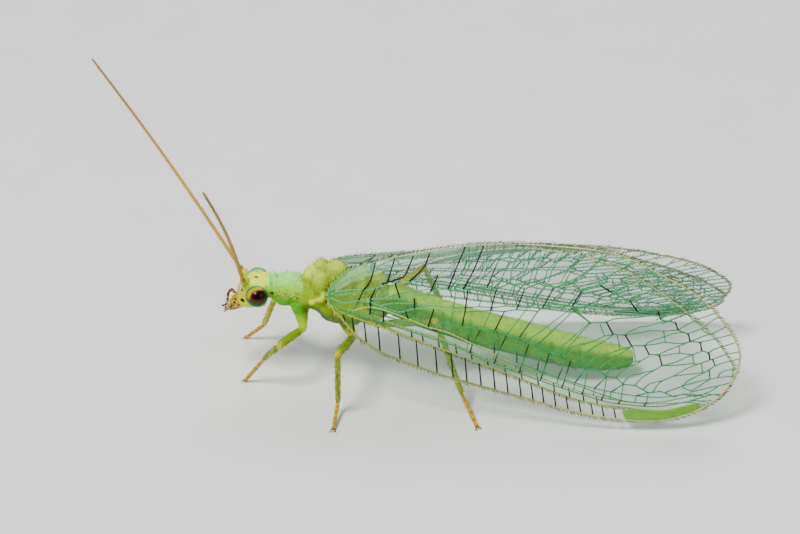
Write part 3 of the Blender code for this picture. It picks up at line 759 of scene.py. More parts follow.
# %% Tint the legs
for leg, (hip, ring, knee, ankle, toe) in LEG_JOINTS.items():
    pair, side = leg.split("_")
    hip_top = Vector(hip) + HIP_RISE[pair]
    off, share = nearest_on(places, hip_top, ring)
    hip_share = (1 - step_up(off, 0.30, 0.42)) * step_up(share, 0.25, 0.95)
    tints = tinted_by(tints, SKIN_TINTS["hip"], hip_share)
    off, share = nearest_on(places, ring, knee)
    thigh = SKIN_TINTS["knee"] if leg.endswith("right") else SKIN_TINTS["thigh"]
    tint = tinted_by(thigh, SKIN_TINTS["knee"], step_up(share, 0.90, 1.0))
    tint = tinted_by(tint, SKIN_TINTS["hip"], 1 - step_up(share, 0.03, 0.20))
    tints = tinted_by(tints, tint, (off < 0.20) * (share > 0))
    off, share = nearest_on(places, knee, ankle)
    shin = SKIN_TINTS["knee"] if leg.endswith("right") else SKIN_TINTS["shin"]
    tint = tinted_by(SKIN_TINTS["knee"], shin, step_up(share, 0.02, 0.09))
    tint = tinted_by(tint, SKIN_TINTS["foot"], step_up(share, 0.93, 1.0) * 0.7)
    tints = tinted_by(tints, tint, (off < 0.14) * (share > 0))
    mottle = np.maximum(mottle, (off < 0.14) * (share > 0.1) * 0.55)
    off, share = nearest_on(places, ankle, toe)
    rings = 0.5 + 0.5 * np.cos(share * 5 * 2 * math.pi)
    foot = tinted_by(SKIN_TINTS["foot"], colour("7a4a08"), step_up(rings, 0.6, 1.0) * 0.6)
    tints = tinted_by(tints, foot, (off < 0.12) * (share > 0))

tints[:, 3] = 1 - mottle
paint(skin, tints)

# %% [markdown]
# ## The skin's finish
# The finish takes its colour from the tint, a little uneven as in life. Where the tint asks for
# mottling, fine noise is cut off hard into brown and pale specks.

# %% Cuticle finish
cuticle = tinted(
    "living_cuticle", 0.46, 0.09, 0.018, 0.24, Specular_IOR_Level=0.12, Subsurface_Weight=0.05,
    Subsurface_Radius=(0.0004, 0.0005, 0.0001), Subsurface_Scale=0.5,
)
amount = node(cuticle, "Math", operation="SUBTRACT")
amount.inputs[0].default_value = 1.0
tint_input = next(item for item in cuticle.node_tree.nodes if item.bl_idname == "ShaderNodeAttribute")
wire(cuticle, tint_input.outputs["Alpha"], amount.inputs[1])
SPECKS = ((0.060, 0.54, 0.62, "6a5208"), (0.050, 0.60, 0.67, "eef0b0"))
for grain, low, high, speck in SPECKS:
    cut = node(cuticle, "MapRange")
    cut.inputs["From Min"].default_value = low
    cut.inputs["From Max"].default_value = high
    wire(cuticle, object_noise(cuticle, grain), cut.inputs["Value"])
    share = node(cuticle, "Math", operation="MULTIPLY")
    wire(cuticle, amount.outputs[0], share.inputs[0])
    wire(cuticle, cut.outputs["Result"], share.inputs[1])
    under = base_of(cuticle).links[0].from_socket
    wire(cuticle, mix(cuticle, share.outputs[0], under, colour(speck)), base_of(cuticle))

# %% [markdown]
# The head carries dark marks: a grey-violet oval on each side of the crown, a violet crescent by each
# feeler, a black spot under it beside the eye, small brown marks on the snout, and on each side of
# the neck one dark dot. They are alike left and right, so the finish folds the skin's coordinates
# over the middle plane and asks how far each place lies from the middle of each mark.

# %% Marks on the head and neck
HEAD_MARKS = (
    ((5.332, 0.191, 4.574), (0.095, 0.060, 0.060), "6c6480"),
    ((5.870, 0.215, 4.190), (0.045, 0.065, 0.080), "b4a8c8"),
    ((5.850, 0.300, 4.075), (0.050, 0.060, 0.060), "4a3c54"),
    ((5.840, 0.425, 3.700), (0.120, 0.110, 0.065), "120a02"),
    ((6.106, 0.202, 3.602), (0.050, 0.060, 0.055), "6a3004"),
    ((6.140, 0.240, 3.490), (0.065, 0.070, 0.042), "140c02"),
    ((5.982, 0.338, 3.446), (0.048, 0.060, 0.062), "5a3004"),
    ((4.743, 0.398, 3.995), (0.068, 0.080, 0.062), "3a1420"),
)
place = node(cuticle, "TexCoord")
shifted = node(cuticle, "VectorMath", operation="SUBTRACT")
shifted.inputs[1].default_value = SHIFT * MM
wire(cuticle, place.outputs["Object"], shifted.inputs[0])
folded = node(cuticle, "VectorMath", operation="ABSOLUTE")
wire(cuticle, shifted.outputs["Vector"], folded.inputs[0])
for middle, reach, shade in HEAD_MARKS:
    away = node(cuticle, "VectorMath", operation="SUBTRACT")
    away.inputs[1].default_value = Vector(middle) * MM
    wire(cuticle, folded.outputs["Vector"], away.inputs[0])
    scaled = node(cuticle, "VectorMath", operation="DIVIDE")
    scaled.inputs[1].default_value = Vector(reach) * MM
    wire(cuticle, away.outputs["Vector"], scaled.inputs[0])
    size = node(cuticle, "VectorMath", operation="LENGTH")
    wire(cuticle, scaled.outputs["Vector"], size.inputs[0])
    under = base_of(cuticle).links[0].from_socket
    share = smooth_share(cuticle, size.outputs["Value"], 0.75, 1.15)
    wire(cuticle, mix(cuticle, share, colour(shade), under), base_of(cuticle))
skin.data.materials.clear()
skin.data.materials.append(cuticle)
FLESH_STARTS = ("head", "prothorax", "mesothorax", "metathorax", "abdomen", "leg")
FLESH_NODES = [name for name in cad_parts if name.startswith(FLESH_STARTS)]
skin_places = places
skin = settle(skin, "skin", "body_cuticle", *FLESH_NODES)

# %% [markdown]
# ## The eyes
# A lacewing's eyes are round domes of thousands of tiny lenses, and they glow: gold and yellow round
# a dark red centre, with a deep green rim. Each is a ball cut flat where it meets the head. The
# place of each colour comes from the piece's own coordinates: how far across the dome, how far up it,
# and how far from a wide dark middle. Above the middle, toward the side the light comes from, the
# bands are gold and yellow, a painted light; below it they are dark olive and green, a painted shade.
# A pale mint crescent along the top of the rim is a painted reflection. The lenses are a fine
# honeycomb of bumps.

# %% Eye helpers
def ramp(material, value, bands):
    """Return a colour from bands of position and colour code."""
    made = node(material, "ValToRGB")
    made.color_ramp.elements[0].position = bands[0][0]
    made.color_ramp.elements[0].color = colour(bands[0][1])
    made.color_ramp.elements[1].position = bands[-1][0]
    made.color_ramp.elements[1].color = colour(bands[-1][1])
    for position, code in bands[1:-1]:
        made.color_ramp.elements.new(position).color = colour(code)
    wire(material, value, made.inputs["Fac"])
    return made.outputs["Color"]


def along_axis(material, place, axis, reach, start=0.0):
    """Return how far a place lies along an axis, in units of a reach, less a start."""
    dot = node(material, "VectorMath", operation="DOT_PRODUCT")
    dot.inputs[1].default_value = Vector(axis) / (reach * MM)
    wire(material, place, dot.inputs[0])
    less = node(material, "Math", operation="SUBTRACT")
    less.inputs[1].default_value = start
    wire(material, dot.outputs["Value"], less.inputs[0])
    return less.outputs[0]


def length_of(material, first, second):
    """Return the length of a flat arrow with two sides."""
    arrow = node(material, "CombineXYZ")
    wire(material, first, arrow.inputs["X"])
    wire(material, second, arrow.inputs["Y"])
    size = node(material, "VectorMath", operation="LENGTH")
    wire(material, arrow.outputs["Vector"], size.inputs[0])
    return size.outputs["Value"]


print("eye helpers ready")

# %% Make the eyes
EYE_UP = Vector((0, 0.53, 0.848))
EYE_CUT = 0.47
PUPIL_HALF = (0.72, 0.50)
# The first two ramps split the iris into a painted light on its lit side and a painted shade on the
# other; the ramp for the rim's top is a painted reflection, a pale mint crescent.
EYE_LIT_GOLD = ((0.0, "8c1c00"), (0.10, "a85000"), (0.22, "c4a400"), (0.55, "b4bc00"), (1.0, "189000"))
EYE_SHADED_OLIVE = ((0.0, "3a1400"), (0.22, "3a3400"), (0.50, "184a00"), (1.0, "004a20"))
EYE_DARK = ((0.0, "050202"), (0.6, "0e0302"), (0.88, "3c0803"), (1.0, "7a1c02"))
RIM_LOW = ((0.0, "004a20"), (0.20, "006a38"), (0.32, "209060"))
RIM_TOP_REFLECTION = ((0.0, "008048"), (0.12, "70e0b0"), (0.20, "108050"), (0.32, "a0f0cc"))


def make_eye(side):
    """Make one eye: a domed ball, cut flat against the head."""
    deselect()
    centre = Vector((EYE_MIDDLE.x, SIDES[side] * EYE_MIDDLE.y, EYE_MIDDLE.z))
    bpy.ops.mesh.primitive_uv_sphere_add(
        segments=64, ring_count=40, radius=EYE_RADIUS, location=centre, rotation=(math.pi / 2, 0, 0)
    )
    bpy.ops.object.transform_apply(location=True, rotation=True, scale=True)
    eye = bpy.context.object
    bpy.ops.object.mode_set(mode="EDIT")
    bpy.ops.mesh.select_all(action="SELECT")
    bpy.ops.mesh.bisect(
        plane_co=(0, SIDES[side] * EYE_CUT, 0), plane_no=(0, SIDES[side], 0), use_fill=True,
        clear_inner=True,
    )
    bpy.ops.object.mode_set(mode="OBJECT")
    material = finish("faceted_eye_" + side, 0.24, 0.02, 0.002, Specular_IOR_Level=0.16, Coat_Weight=0.05,
                      Coat_Roughness=0.12)
    place = node(material, "TexCoord")
    local = node(material, "VectorMath", operation="SUBTRACT")
    local.inputs[1].default_value = (centre + SHIFT) * MM
    wire(material, place.outputs["Object"], local.inputs[0])
    here = local.outputs["Vector"]
    up = Vector((0, -SIDES[side] * EYE_UP.y, EYE_UP.z))
    across = along_axis(material, here, (1, 0, 0), EYE_RADIUS)
    high = along_axis(material, here, up, EYE_RADIUS)
    rim = length_of(material, across, high)
    tilted = Vector((1, 0, 0)) + up * 0.16
    pupil_across = along_axis(material, here, tilted, EYE_RADIUS * PUPIL_HALF[0], 0.28)
    pupil_high = along_axis(material, here, up - Vector((0.16, 0, 0)), EYE_RADIUS * PUPIL_HALF[1], -0.06)
    pupil = length_of(material, pupil_across, pupil_high)
    outward = node(material, "MapRange")
    outward.inputs["From Min"].default_value = 0.9
    outward.inputs["From Max"].default_value = 2.1
    wire(material, pupil, outward.inputs["Value"])
    # Painted light and shade: gold and yellow toward the side the light comes from, upper left, and dark
    # olive and green away from it.
    lit_gold = ramp(material, outward.outputs["Result"], EYE_LIT_GOLD)
    shade = ramp(material, outward.outputs["Result"], EYE_SHADED_OLIVE)
    lit = along_axis(material, here, up * 0.86 - Vector((0.5, 0, 0)), EYE_RADIUS)
    iris = mix(material, smooth_share(material, lit, -0.05, 0.42), shade, lit_gold)
    dark = ramp(material, pupil, EYE_DARK)
    inner = mix(material, smooth_share(material, pupil, 0.84, 1.10), dark, iris)
    ringed = mix(material, smooth_share(material, rim, 0.77, 0.89), inner, colour("005c2c"))
    inward = along_axis(material, here, (0, -SIDES[side], 0), EYE_RADIUS)
    # Painted reflection: a pale mint crescent along the top part of the rim.
    low_band = ramp(material, inward, RIM_LOW)
    top_reflection_band = ramp(material, inward, RIM_TOP_REFLECTION)
    band = mix(material, smooth_share(material, high, 0.1, 0.7), low_band, top_reflection_band)
    banded = mix(material, smooth_share(material, inward, -0.20, -0.04), ringed, band)
    wire(material, banded, base_of(material))
    lens = node(material, "TexVoronoi")
    lens.inputs["Scale"].default_value = PER_MM / 0.022
    wire(material, place.outputs["Object"], lens.inputs["Vector"])
    bump = material.node_tree.nodes["Bump"]
    bump.invert = True
    wire(material, lens.outputs["Distance"], bump.inputs["Height"])
    eye.data.materials.append(material)
    return settle(eye, "eye_" + side + "_dome", "compound_eye", "eye_" + side)


for side in SIDES:
    make_eye(side)

# %% [markdown]
# ## The feelers
# Each feeler stands on a fat bulb, carries a short ring above it, and then runs out into a whip of
# about eighty short joints that widen a little toward their ends. It is one limb whose rings follow
# the whip's gentle bow, with three rings for each joint.

# %% Feelers
FEELER_ROOTS = {"left": Vector((-5.64, -0.17, 4.40)), "right": Vector((-5.64, 0.17, 4.40))}
FEELER_BULBS = {"left": Vector((-5.80, -0.36, 4.50)), "right": Vector((-5.83, 0.28, 4.53))}
FEELER_TIPS = {"left": Vector((-6.86, -6.10, 11.75)), "right": Vector((-11.40, 4.05, 11.45))}
FEELER_BOW = {"left": Vector((0.13, 0, 0.06)), "right": Vector((0.05, -0.02, 0.13))}
WHIP_JOINTS = 84
WHIP_RADII = (0.066, 0.038)


def feeler_line(side):
    """Return the feeler's root, bulb, ring and whip start, and a function for the whip's places."""
    root = FEELER_ROOTS[side]
    bulb = FEELER_BULBS[side]
    whip_way = (FEELER_TIPS[side] - bulb).normalized()
    ring = bulb + whip_way * 0.15
    start = ring + whip_way * 0.12

    def whip(share):
        return start.lerp(FEELER_TIPS[side], share) + FEELER_BOW[side] * math.sin(math.pi * share)

    return root, bulb, ring, start, whip


def make_feeler(side):
    """Make one feeler from its root in the head to its tip."""
    root, bulb, ring, start, whip = feeler_line(side)
    rows = [(root.lerp(bulb, -0.2), 0.10), (root.lerp(bulb, 0.20), 0.150), (root.lerp(bulb, 0.60), 0.158)]
    rows += [(bulb, 0.140), (bulb.lerp(ring, 0.35), 0.108), (bulb.lerp(ring, 0.55), 0.088)]
    rows += [(bulb.lerp(ring, 0.75), 0.098), (ring, 0.106), (ring.lerp(start, 0.45), 0.100)]
    rows += [(ring.lerp(start, 0.75), 0.078), (ring.lerp(start, 0.95), 0.062)]
    for joint in range(WHIP_JOINTS):
        size = WHIP_RADII[0] + (WHIP_RADII[1] - WHIP_RADII[0]) * (joint / WHIP_JOINTS)
        for part, swell in ((0.08, 0.86), (0.45, 1.0), (0.88, 1.10)):
            rows.append((whip((joint + part) / WHIP_JOINTS), size * swell))
    rows.append((whip(1.0), WHIP_RADII[1] * 0.4))
    feeler = limb([row[0] for row in rows], [row[1] for row in rows], 10)
    places = vertex_places(feeler)
    out = (places - np.array(bulb)) @ np.array((FEELER_TIPS[side] - bulb).normalized())
    tint = blend(np.tile(colour("a9bf20"), (len(places), 1)), colour("a87408"), step_up(out, 0.05, 0.10))
    tint = blend(tint, colour("c49208"), step_up(out, 0.20, 0.50))
    tint = blend(tint, colour("9c6810"), step_up(out, 4.0, 9.0))
    paint(feeler, tint)
    feeler.data.materials.append(feeler_horn)
    return settle(feeler, "feeler_" + side, "antenna_cuticle", "antenna_" + side)


feeler_horn = tinted("feeler_horn", 0.38, 0.05, 0.006, 0.3, Specular_IOR_Level=0.5)
for side in SIDES:
    make_feeler(side)

# %% [markdown]
# ## Mouthparts
# Below the snout hang two pairs of little jointed feelers, the palps, amber brown with pale tips,
# and between them the brown jaws. They are short limbs of rounded lengths, joined into one piece.

# %% Mouthparts
PALPS = (
    ((-6.14, 0.24, 3.62), (-6.28, 0.30, 3.74), (-6.40, 0.32, 3.58), (-6.43, 0.32, 3.34),
     (-6.46, 0.30, 3.14), (-6.62, 0.28, 3.02)),
    ((-6.02, -0.28, 3.40), (-6.18, -0.32, 3.34), (-6.34, -0.31, 3.36), (-6.48, -0.26, 3.28),
     (-6.56, -0.22, 3.18)),
    ((-5.96, -0.15, 3.26), (-6.22, -0.17, 3.17), (-6.40, -0.17, 3.19), (-6.54, -0.16, 3.07)),
    ((-5.96, 0.15, 3.26), (-6.20, 0.18, 3.15), (-6.38, 0.18, 3.12), (-6.50, 0.17, 3.00)),
)
JAW = ((-6.02, 0.20, 3.30), (-6.22, 0.17, 3.20), (-6.38, 0.05, 3.16))
mouth = []
for chain in PALPS:
    line = [Vector(place) for place in chain]
    for begin, stop in zip(line, line[1:]):
        mouth.append(spindle(begin, stop, (0.048, 0.064, 0.050), 10, 0.5))
for side in SIDES.values():
    jaw = [(along, side * across, up) for along, across, up in JAW]
    mouth.append(limb(smooth_rows(jaw, 4), [float(r) for r in np.linspace(0.085, 0.025, 9)], 10))
mouth = join(mouth)
places = vertex_places(mouth)
tip_share = step_up(-places[:, 0] - (places[:, 2] - 3.2) * 0.5, 6.47, 6.56)
paint(mouth, blend(np.tile(colour("b49030"), (len(places), 1)), colour("f4f8f0"), tip_share))
amber = tinted("amber_horn", 0.35, 0.05, 0.005, 0.3, Specular_IOR_Level=0.5)
freckles = smooth_share(amber, object_noise(amber, 0.13), 0.52, 0.60)
plain = base_of(amber).links[0].from_socket
wire(amber, mix(amber, freckles, plain, colour("2c1404")), base_of(amber))
mouth.data.materials.append(amber)
settle(mouth, "mouthparts", "head_cuticle")

# %% [markdown]
# ## Claws
# Every foot ends in two small hooked claws, dark as horn, with a pale pad between them. Each claw is
# a short limb that curls down to the ground, and the pad a lump.

# %% Claws
horn = finish("dark_horn", 0.28, 0.03, 0.003, Specular_IOR_Level=0.6)
wire(horn, mix(horn, object_noise(horn, 0.05), colour("241309"), colour("4a2a12")), base_of(horn))
pad_skin = finish("pale_pad", 0.6, 0.03, 0.004)
pad_tint = mix(pad_skin, object_noise(pad_skin, 0.04), colour("d8cf9a"), colour("b9a468"))
wire(pad_skin, pad_tint, base_of(pad_skin))
claws = []
pads = []
for leg, (hip, ring, knee, ankle, toe) in LEG_JOINTS.items():
    toe = Vector(toe)
    ahead = toe - Vector(ankle)
    ahead.z = 0
    ahead.normalize()
    across = Vector((-ahead.y, ahead.x, 0))
    for hand in (-1, 1):
        rows = [toe - ahead * 0.03, toe + ahead * 0.04 + across * hand * 0.05 + Vector((0, 0, 0.02)),
                toe + ahead * 0.11 + across * hand * 0.10 - Vector((0, 0, 0.02)),
                toe + ahead * 0.13 + across * hand * 0.12 - Vector((0, 0, 0.075))]
        claws.append(limb(smooth_rows(rows, 3), [float(r) for r in np.linspace(0.032, 0.008, 10)], 8))
    pads.append(lump(toe + ahead * 0.05 - Vector((0, 0, 0.045)), (0.055, 0.055, 0.035)))
claws = join(claws)
claws.data.materials.append(horn)
settle(claws, "claws", "claw")
pads = join(pads)
pads.data.materials.append(pad_skin)
settle(pads, "foot_pads", "leg_cuticle")

# %% [markdown]
# ## Where a wing lies
# Each wing is a nearly flat sheet that leans out from the ridge over the back like one side of a
# roof. A place on it has two numbers: how far along the body, and how far down from the ridge. One
# function turns them into a place in space, with the sheet's slight bulge, and everything on the
# wing uses it, so film, veins and hairs always fit each other.

# %% Wing surface
ROOF_LEAN = math.radians(33)
RIDGE_HEIGHT = 5.85
FOREWING_OUT = {"left": 0.17, "right": 0.07}
HINDWING_OUT = {"left": 0.02, "right": -0.08}
BULGE = {"left": 0.26, "right": 0.10}
TUCK = {"left": 0.0, "right": 0.16}
BULGE_MIDDLE = 3.0
BULGE_HALF = 3.6
LINE_STEPS = 6


def wing_places(rows, out, side):
    """Turn rows of along and down into places on a wing that lies out from the roof's plane."""
    rows = np.asarray(rows, dtype=float)
    along = rows[:, 0]
    down = rows[:, 1]
    swell = np.clip(1 - ((down - BULGE_MIDDLE) / BULGE_HALF) ** 2, 0, None)
    closing = 0.25 + 0.75 * step_up(down, 0.0, 1.6)
    tuck = TUCK[side] * (1 - step_up(down, 0.2, 1.6)) * (1 - step_up(along, 0.5, 3.5))
    lift = (out + BULGE[side] * swell * step_up(along, -2.0, 2.0)) * closing - tuck
    y = (down * math.sin(ROOF_LEAN) + lift * math.cos(ROOF_LEAN)) * SIDES[side]
    z = RIDGE_HEIGHT - down * math.cos(ROOF_LEAN) + lift * math.sin(ROOF_LEAN)
    return np.stack([along, y, z], axis=1)


FORE_COSTA = ((-2.68, 1.98), (-2.60, 2.20), (-2.29, 2.57), (-2.08, 2.80), (-1.70, 3.24),
              (-1.25, 3.61), (-0.70, 3.95), (0.06, 4.26), (1.35, 4.73), (2.93, 5.19), (4.37, 5.58),
              (5.88, 6.00), (7.20, 6.30), (8.74, 6.47), (9.71, 6.45), (10.55, 6.25), (11.23, 5.96),
              (11.90, 5.44), (12.36, 4.72), (12.51, 4.10))
FORE_HIND = ((-2.68, 1.98), (-2.66, 1.74), (-2.47, 1.44), (-2.10, 1.10), (-1.73, 0.85),
             (-0.94, 0.65), (0.00, 0.42), (2.20, 0.06), (4.42, -0.03), (7.36, 0.22), (8.61, 0.59),
             (9.49, 1.04), (10.23, 1.45), (10.81, 1.78), (11.33, 2.21), (11.72, 2.65),
             (12.33, 3.51), (12.51, 4.10))
HIND_COSTA = ((-1.20, 2.62), (-0.60, 2.98), (0.20, 3.34), (1.29, 3.75), (2.91, 4.35), (4.36, 4.90),
              (5.88, 5.49), (6.91, 5.80), (8.09, 5.97), (9.19, 6.12), (9.93, 6.19), (10.66, 6.08),
              (11.22, 5.92), (11.84, 5.53), (12.21, 4.98), (12.26, 4.46))
HIND_HIND = ((-1.20, 2.62), (-1.05, 2.20), (-0.60, 1.50), (0.20, 0.95), (1.60, 0.48), (3.00, 0.22),
             (4.42, 0.12), (5.63, 0.21), (6.99, 0.49), (8.38, 1.02), (9.49, 1.69), (10.62, 2.54),
             (11.57, 3.43), (12.09, 4.15), (12.26, 4.46))
WINGS = {"fore": (FORE_COSTA, FORE_HIND, FOREWING_OUT), "hind": (HIND_COSTA, HIND_HIND, HINDWING_OUT)}
print("wing reach", wing_places(FORE_HIND[-1:], FOREWING_OUT["left"], "left"))

# %% [markdown]
# ## The wing film
# The film between the veins is a few thousandths of a millimetre thick, clear, and faintly
# iridescent. It could be a single sheet, but a real thing has two faces and an edge, so here the
# outline is filled with a grid of points, laid out twice a hundredth of a millimetre apart and sewn
# together along the rim. This is mesh code, because the outline and the bulge come from functions.
# The far wings' film is made denser and paler, a painted sheen for how it looks against the light.

# %% Wing film
FILM_HALF = 0.005
FILM_LONG = 120
FILM_WIDE = 26
# The far (right) film's greater density and paler tints are a painted sheen.
FILM_LOOKS = {"left": (0.035, "3cb88c", "88e0ac"), "right": (0.10, "5cc8a4", "9ce8c4")}


def line_height(line, along):
    """Return how far down an edge or a long vein lies at places along the wing."""
    line = smooth_rows(line, LINE_STEPS)
    return np.interp(along, np.maximum.accumulate(line[:, 0]), line[:, 1])


def film_grid(costa, hind):
    """Return a grid of along and down that fills the outline from root to tip."""
    ends = (1 - np.cos(np.linspace(0, math.pi, FILM_LONG + 1))) / 2
    along = costa[0][0] + (costa[-1][0] - costa[0][0]) * ends
    low = line_height(costa, along)
    high = line_height(hind, along)
    across = np.linspace(0, 1, FILM_WIDE + 1)
    down = low[:, None] + (high - low)[:, None] * across[None, :]
    return np.stack([np.repeat(along[:, None], FILM_WIDE + 1, axis=1), down], axis=2)


def thin_sheet(grid, out, half, side, material, name, *replaced):
    """Lay a closed thin sheet over a grid of along and down."""
    long, wide = grid.shape[:2]
    rows = grid.reshape(-1, 2)
    places = np.vstack([wing_places(rows, out + half, side), wing_places(rows, out - half, side)])
    count = long * wide
    faces = []
    for i in range(long - 1):
        for j in range(wide - 1):
            corner = i * wide + j
            top = (corner, corner + 1, corner + wide + 1, corner + wide)
            faces.append(top)
            faces.append(tuple(index + count for index in reversed(top)))
    rim = list(range(wide)) + [i * wide + wide - 1 for i in range(1, long)]
    rim += [(long - 1) * wide + j for j in range(wide - 2, -1, -1)]
    rim += [i * wide for i in range(long - 2, 0, -1)]
    for first, second in zip(rim, rim[1:] + rim[:1]):
        faces.append((second, first, first + count, second + count))
    sheet = new_piece("sheet", places, faces)
    deselect()
    sheet.select_set(True)
    bpy.context.view_layer.objects.active = sheet
    bpy.ops.object.mode_set(mode="EDIT")
    bpy.ops.mesh.select_all(action="SELECT")
    bpy.ops.mesh.normals_make_consistent(inside=False)
    bpy.ops.object.mode_set(mode="OBJECT")
    sheet.data.materials.append(material)
    return settle(sheet, name, "wing_membrane", *replaced)


films = {}
for side, (density, low_tint, high_tint) in FILM_LOOKS.items():
    film = finish("glassy_film_" + side, 0.16, 0.5, 0.01, Alpha=density, Specular_IOR_Level=1.0)
    wire(film, mix(film, object_noise(film, 2.4, 1), colour(low_tint), colour(high_tint)), base_of(film))
    films[side] = film
for which, (costa, hind, outs) in WINGS.items():
    for side in SIDES:
        name = which + "wing_" + side
        grid = film_grid(costa, hind)[1:-1]
        thin_sheet(grid, outs[side], FILM_HALF, side, films[side], name + "_film", name)

# %% [markdown]
# ## Stigma and ridge
# Near the tip each forewing is thickened along its front edge into a long opaque patch, the stigma,
# grass green in this insect. Along the ridge over the back the wings' rear edges overlap, and there a
# milky pale green sheet adds a painted sheen, densest on the far side. Both are further thin sheets,
# laid just outside the film.

# %% Stigma and milky ridge
STIGMA_LOW = ((8.30, 6.42), (8.72, 6.46), (9.71, 6.44), (10.66, 6.19), (11.00, 6.03))
STIGMA_HIGH = ((8.16, 6.12), (8.72, 6.05), (9.71, 6.09), (10.66, 5.88), (11.06, 5.86))
RIDGE_LOW = {
    "left": ((-2.40, 1.75), (-1.60, 1.30), (-0.40, 0.95), (1.00, 0.72), (3.00, 0.42), (5.20, 0.18)),
    "right": ((-2.40, 1.85), (-1.60, 1.70), (-0.40, 1.60), (1.00, 1.45), (3.00, 1.00), (5.20, 0.62),
              (8.20, 0.78)),
}
RIDGE_HIGH = {
    "left": ((-2.40, 1.50), (-1.60, 0.82), (-0.40, 0.55), (1.00, 0.24), (3.00, 0.03), (5.20, 0.03)),
    "right": ((-2.40, 1.50), (-1.60, 0.82), (-0.40, 0.55), (1.00, 0.26), (3.00, 0.05), (5.20, 0.03),
              (8.20, 0.45)),
}
# The ridge's milky sheet is a painted sheen, much denser on the far side.
RIDGE_SHEEN_DENSITY = {"left": 0.12, "right": 0.40}
LAID_OUT = 0.02
STIGMA_HALF = 0.012
RIDGE_HALF = 0.006


def strip_grid(low, high, steps, wide):
    """Return a grid of along and down between two edges given at the same places along."""
    low = smooth_rows(low, steps)
    high = smooth_rows(high, steps)
    across = np.linspace(0, 1, wide + 1)
    return low[:, None, :] + (high - low)[:, None, :] * across[None, :, None]


stigma_skin = finish("stigma_film", 0.42, 0.12, 0.01, Alpha=0.80, Specular_IOR_Level=0.4)
stigma_tint = mix(stigma_skin, object_noise(stigma_skin, 0.35), colour("4f9a1c"), colour("86b828"))
wire(stigma_skin, stigma_tint, base_of(stigma_skin))
for side in SIDES:
    out = FOREWING_OUT[side] + LAID_OUT
    patch = strip_grid(STIGMA_LOW, STIGMA_HIGH, 6, 5)
    thin_sheet(patch, out, STIGMA_HALF, side, stigma_skin, "stigma_" + side)
    # Painted sheen: a milky pale green sheet along the ridge.
    density = RIDGE_SHEEN_DENSITY[side]
    ridge_sheen = finish("sheen_film_" + side, 0.35, 0.3, 0.01, Alpha=density, Specular_IOR_Level=0.2)
    wire(ridge_sheen, mix(ridge_sheen, object_noise(ridge_sheen, 0.5), colour("94ecbc"), colour("dcfcd4")), base_of(ridge_sheen))
    ridge = strip_grid(RIDGE_LOW[side], RIDGE_HIGH[side], 8, 6)
    thin_sheet(ridge, out, RIDGE_HALF, side, ridge_sheen, "ridge_film_" + side)

# %% [markdown]
# ## Strands
# Veins and hairs are all thin tapered tubes, far too many to draw by hand one at a time. They are
# collected in a store of points and faces and become one mesh in the end. Every strand is a closed
# tube of a few sides and carries its own colour along its length.

# %% Strands
def new_store():
    """Start a collection of strands."""
    return {"points": [], "faces": [], "tints": [], "lines": [], "count": 0}


def add_strand(store, line, radii, sides, tints):
    """Add one closed tube along a line of points."""
    line = np.asarray(line, dtype=float)
    ways = np.gradient(line, axis=0)
    ways /= np.linalg.norm(ways, axis=1)[:, None]
    guide = np.array([0.0, 0.0, 1.0]) if abs(ways[0][2]) < 0.9 else np.array([1.0, 0.0, 0.0])
    first = np.cross(ways[0], guide)
    rings = []
    angles = np.arange(sides) * 2 * math.pi / sides
    for place, way, radius in zip(line, ways, radii):
        first = first - way * (first @ way)
        first = first / np.linalg.norm(first)
        second = np.cross(way, first)
        around = np.cos(angles)[:, None] * first + np.sin(angles)[:, None] * second
        rings.append(place + radius * around)
    base = store["count"]
    store["points"].append(np.vstack(rings))
    for ring in range(len(line) - 1):
        start = base + ring * sides
        for side in range(sides):
            after = (side + 1) % sides
            low = (start + side, start + after)
            store["faces"].append((*low, start + sides + after, start + sides + side))
    store["faces"].append(tuple(base + side for side in reversed(range(sides))))
    store["faces"].append(tuple(base + (len(line) - 1) * sides + side for side in range(sides)))
    tints = np.asarray(tints, dtype=float)
    if tints.ndim == 1:
        tints = np.tile(tints, (len(line), 1))
    store["tints"].append(np.repeat(tints, sides, axis=0))
    store["count"] += len(line) * sides


def stored_mesh(store, name, material):
    """Make one object of all the strands in a store."""
    piece = new_piece(name, np.vstack(store["points"]), store["faces"])
    paint(piece, np.vstack(store["tints"]))
    piece.data.materials.append(material)
    return piece


print("strand helpers ready")

# %% [markdown]
# ## The net of veins
# Long veins run out from the wing's root: the pale front edge, the yellow-green vein behind it, then
# two green ones close together. Behind them three zigzag lines share the wing into rows of cells
# like brickwork. Between all of these stand crossveins, black near the root and green toward the
# tip. Beyond the zigzags a fan of long veins runs to the tip, with a few short ones across it, and
# the veins that end on the rear edge fork just before it. The veins' bends are given as along and
# down, in millimetres, and each net is laid on its wing by the wing's own function.

# %% Vein lines of the forewing
GREEN = colour("0ea04c")
MINT = colour("34c47c")
YELLOWISH = colour("a4b81c")
OLIVE = colour("8a9440")
PALE = colour("c8cc78")
CREAM = colour("e6e2b4")
DARK = colour("080302")


def rear_stem_tints(rows):
    """Return the colours of the third long vein: yellowish first, green further out."""
    return blend(np.tile(colour("b8cc4c"), (len(rows), 1)), GREEN, step_up(rows[:, 0], 2.0, 6.5))


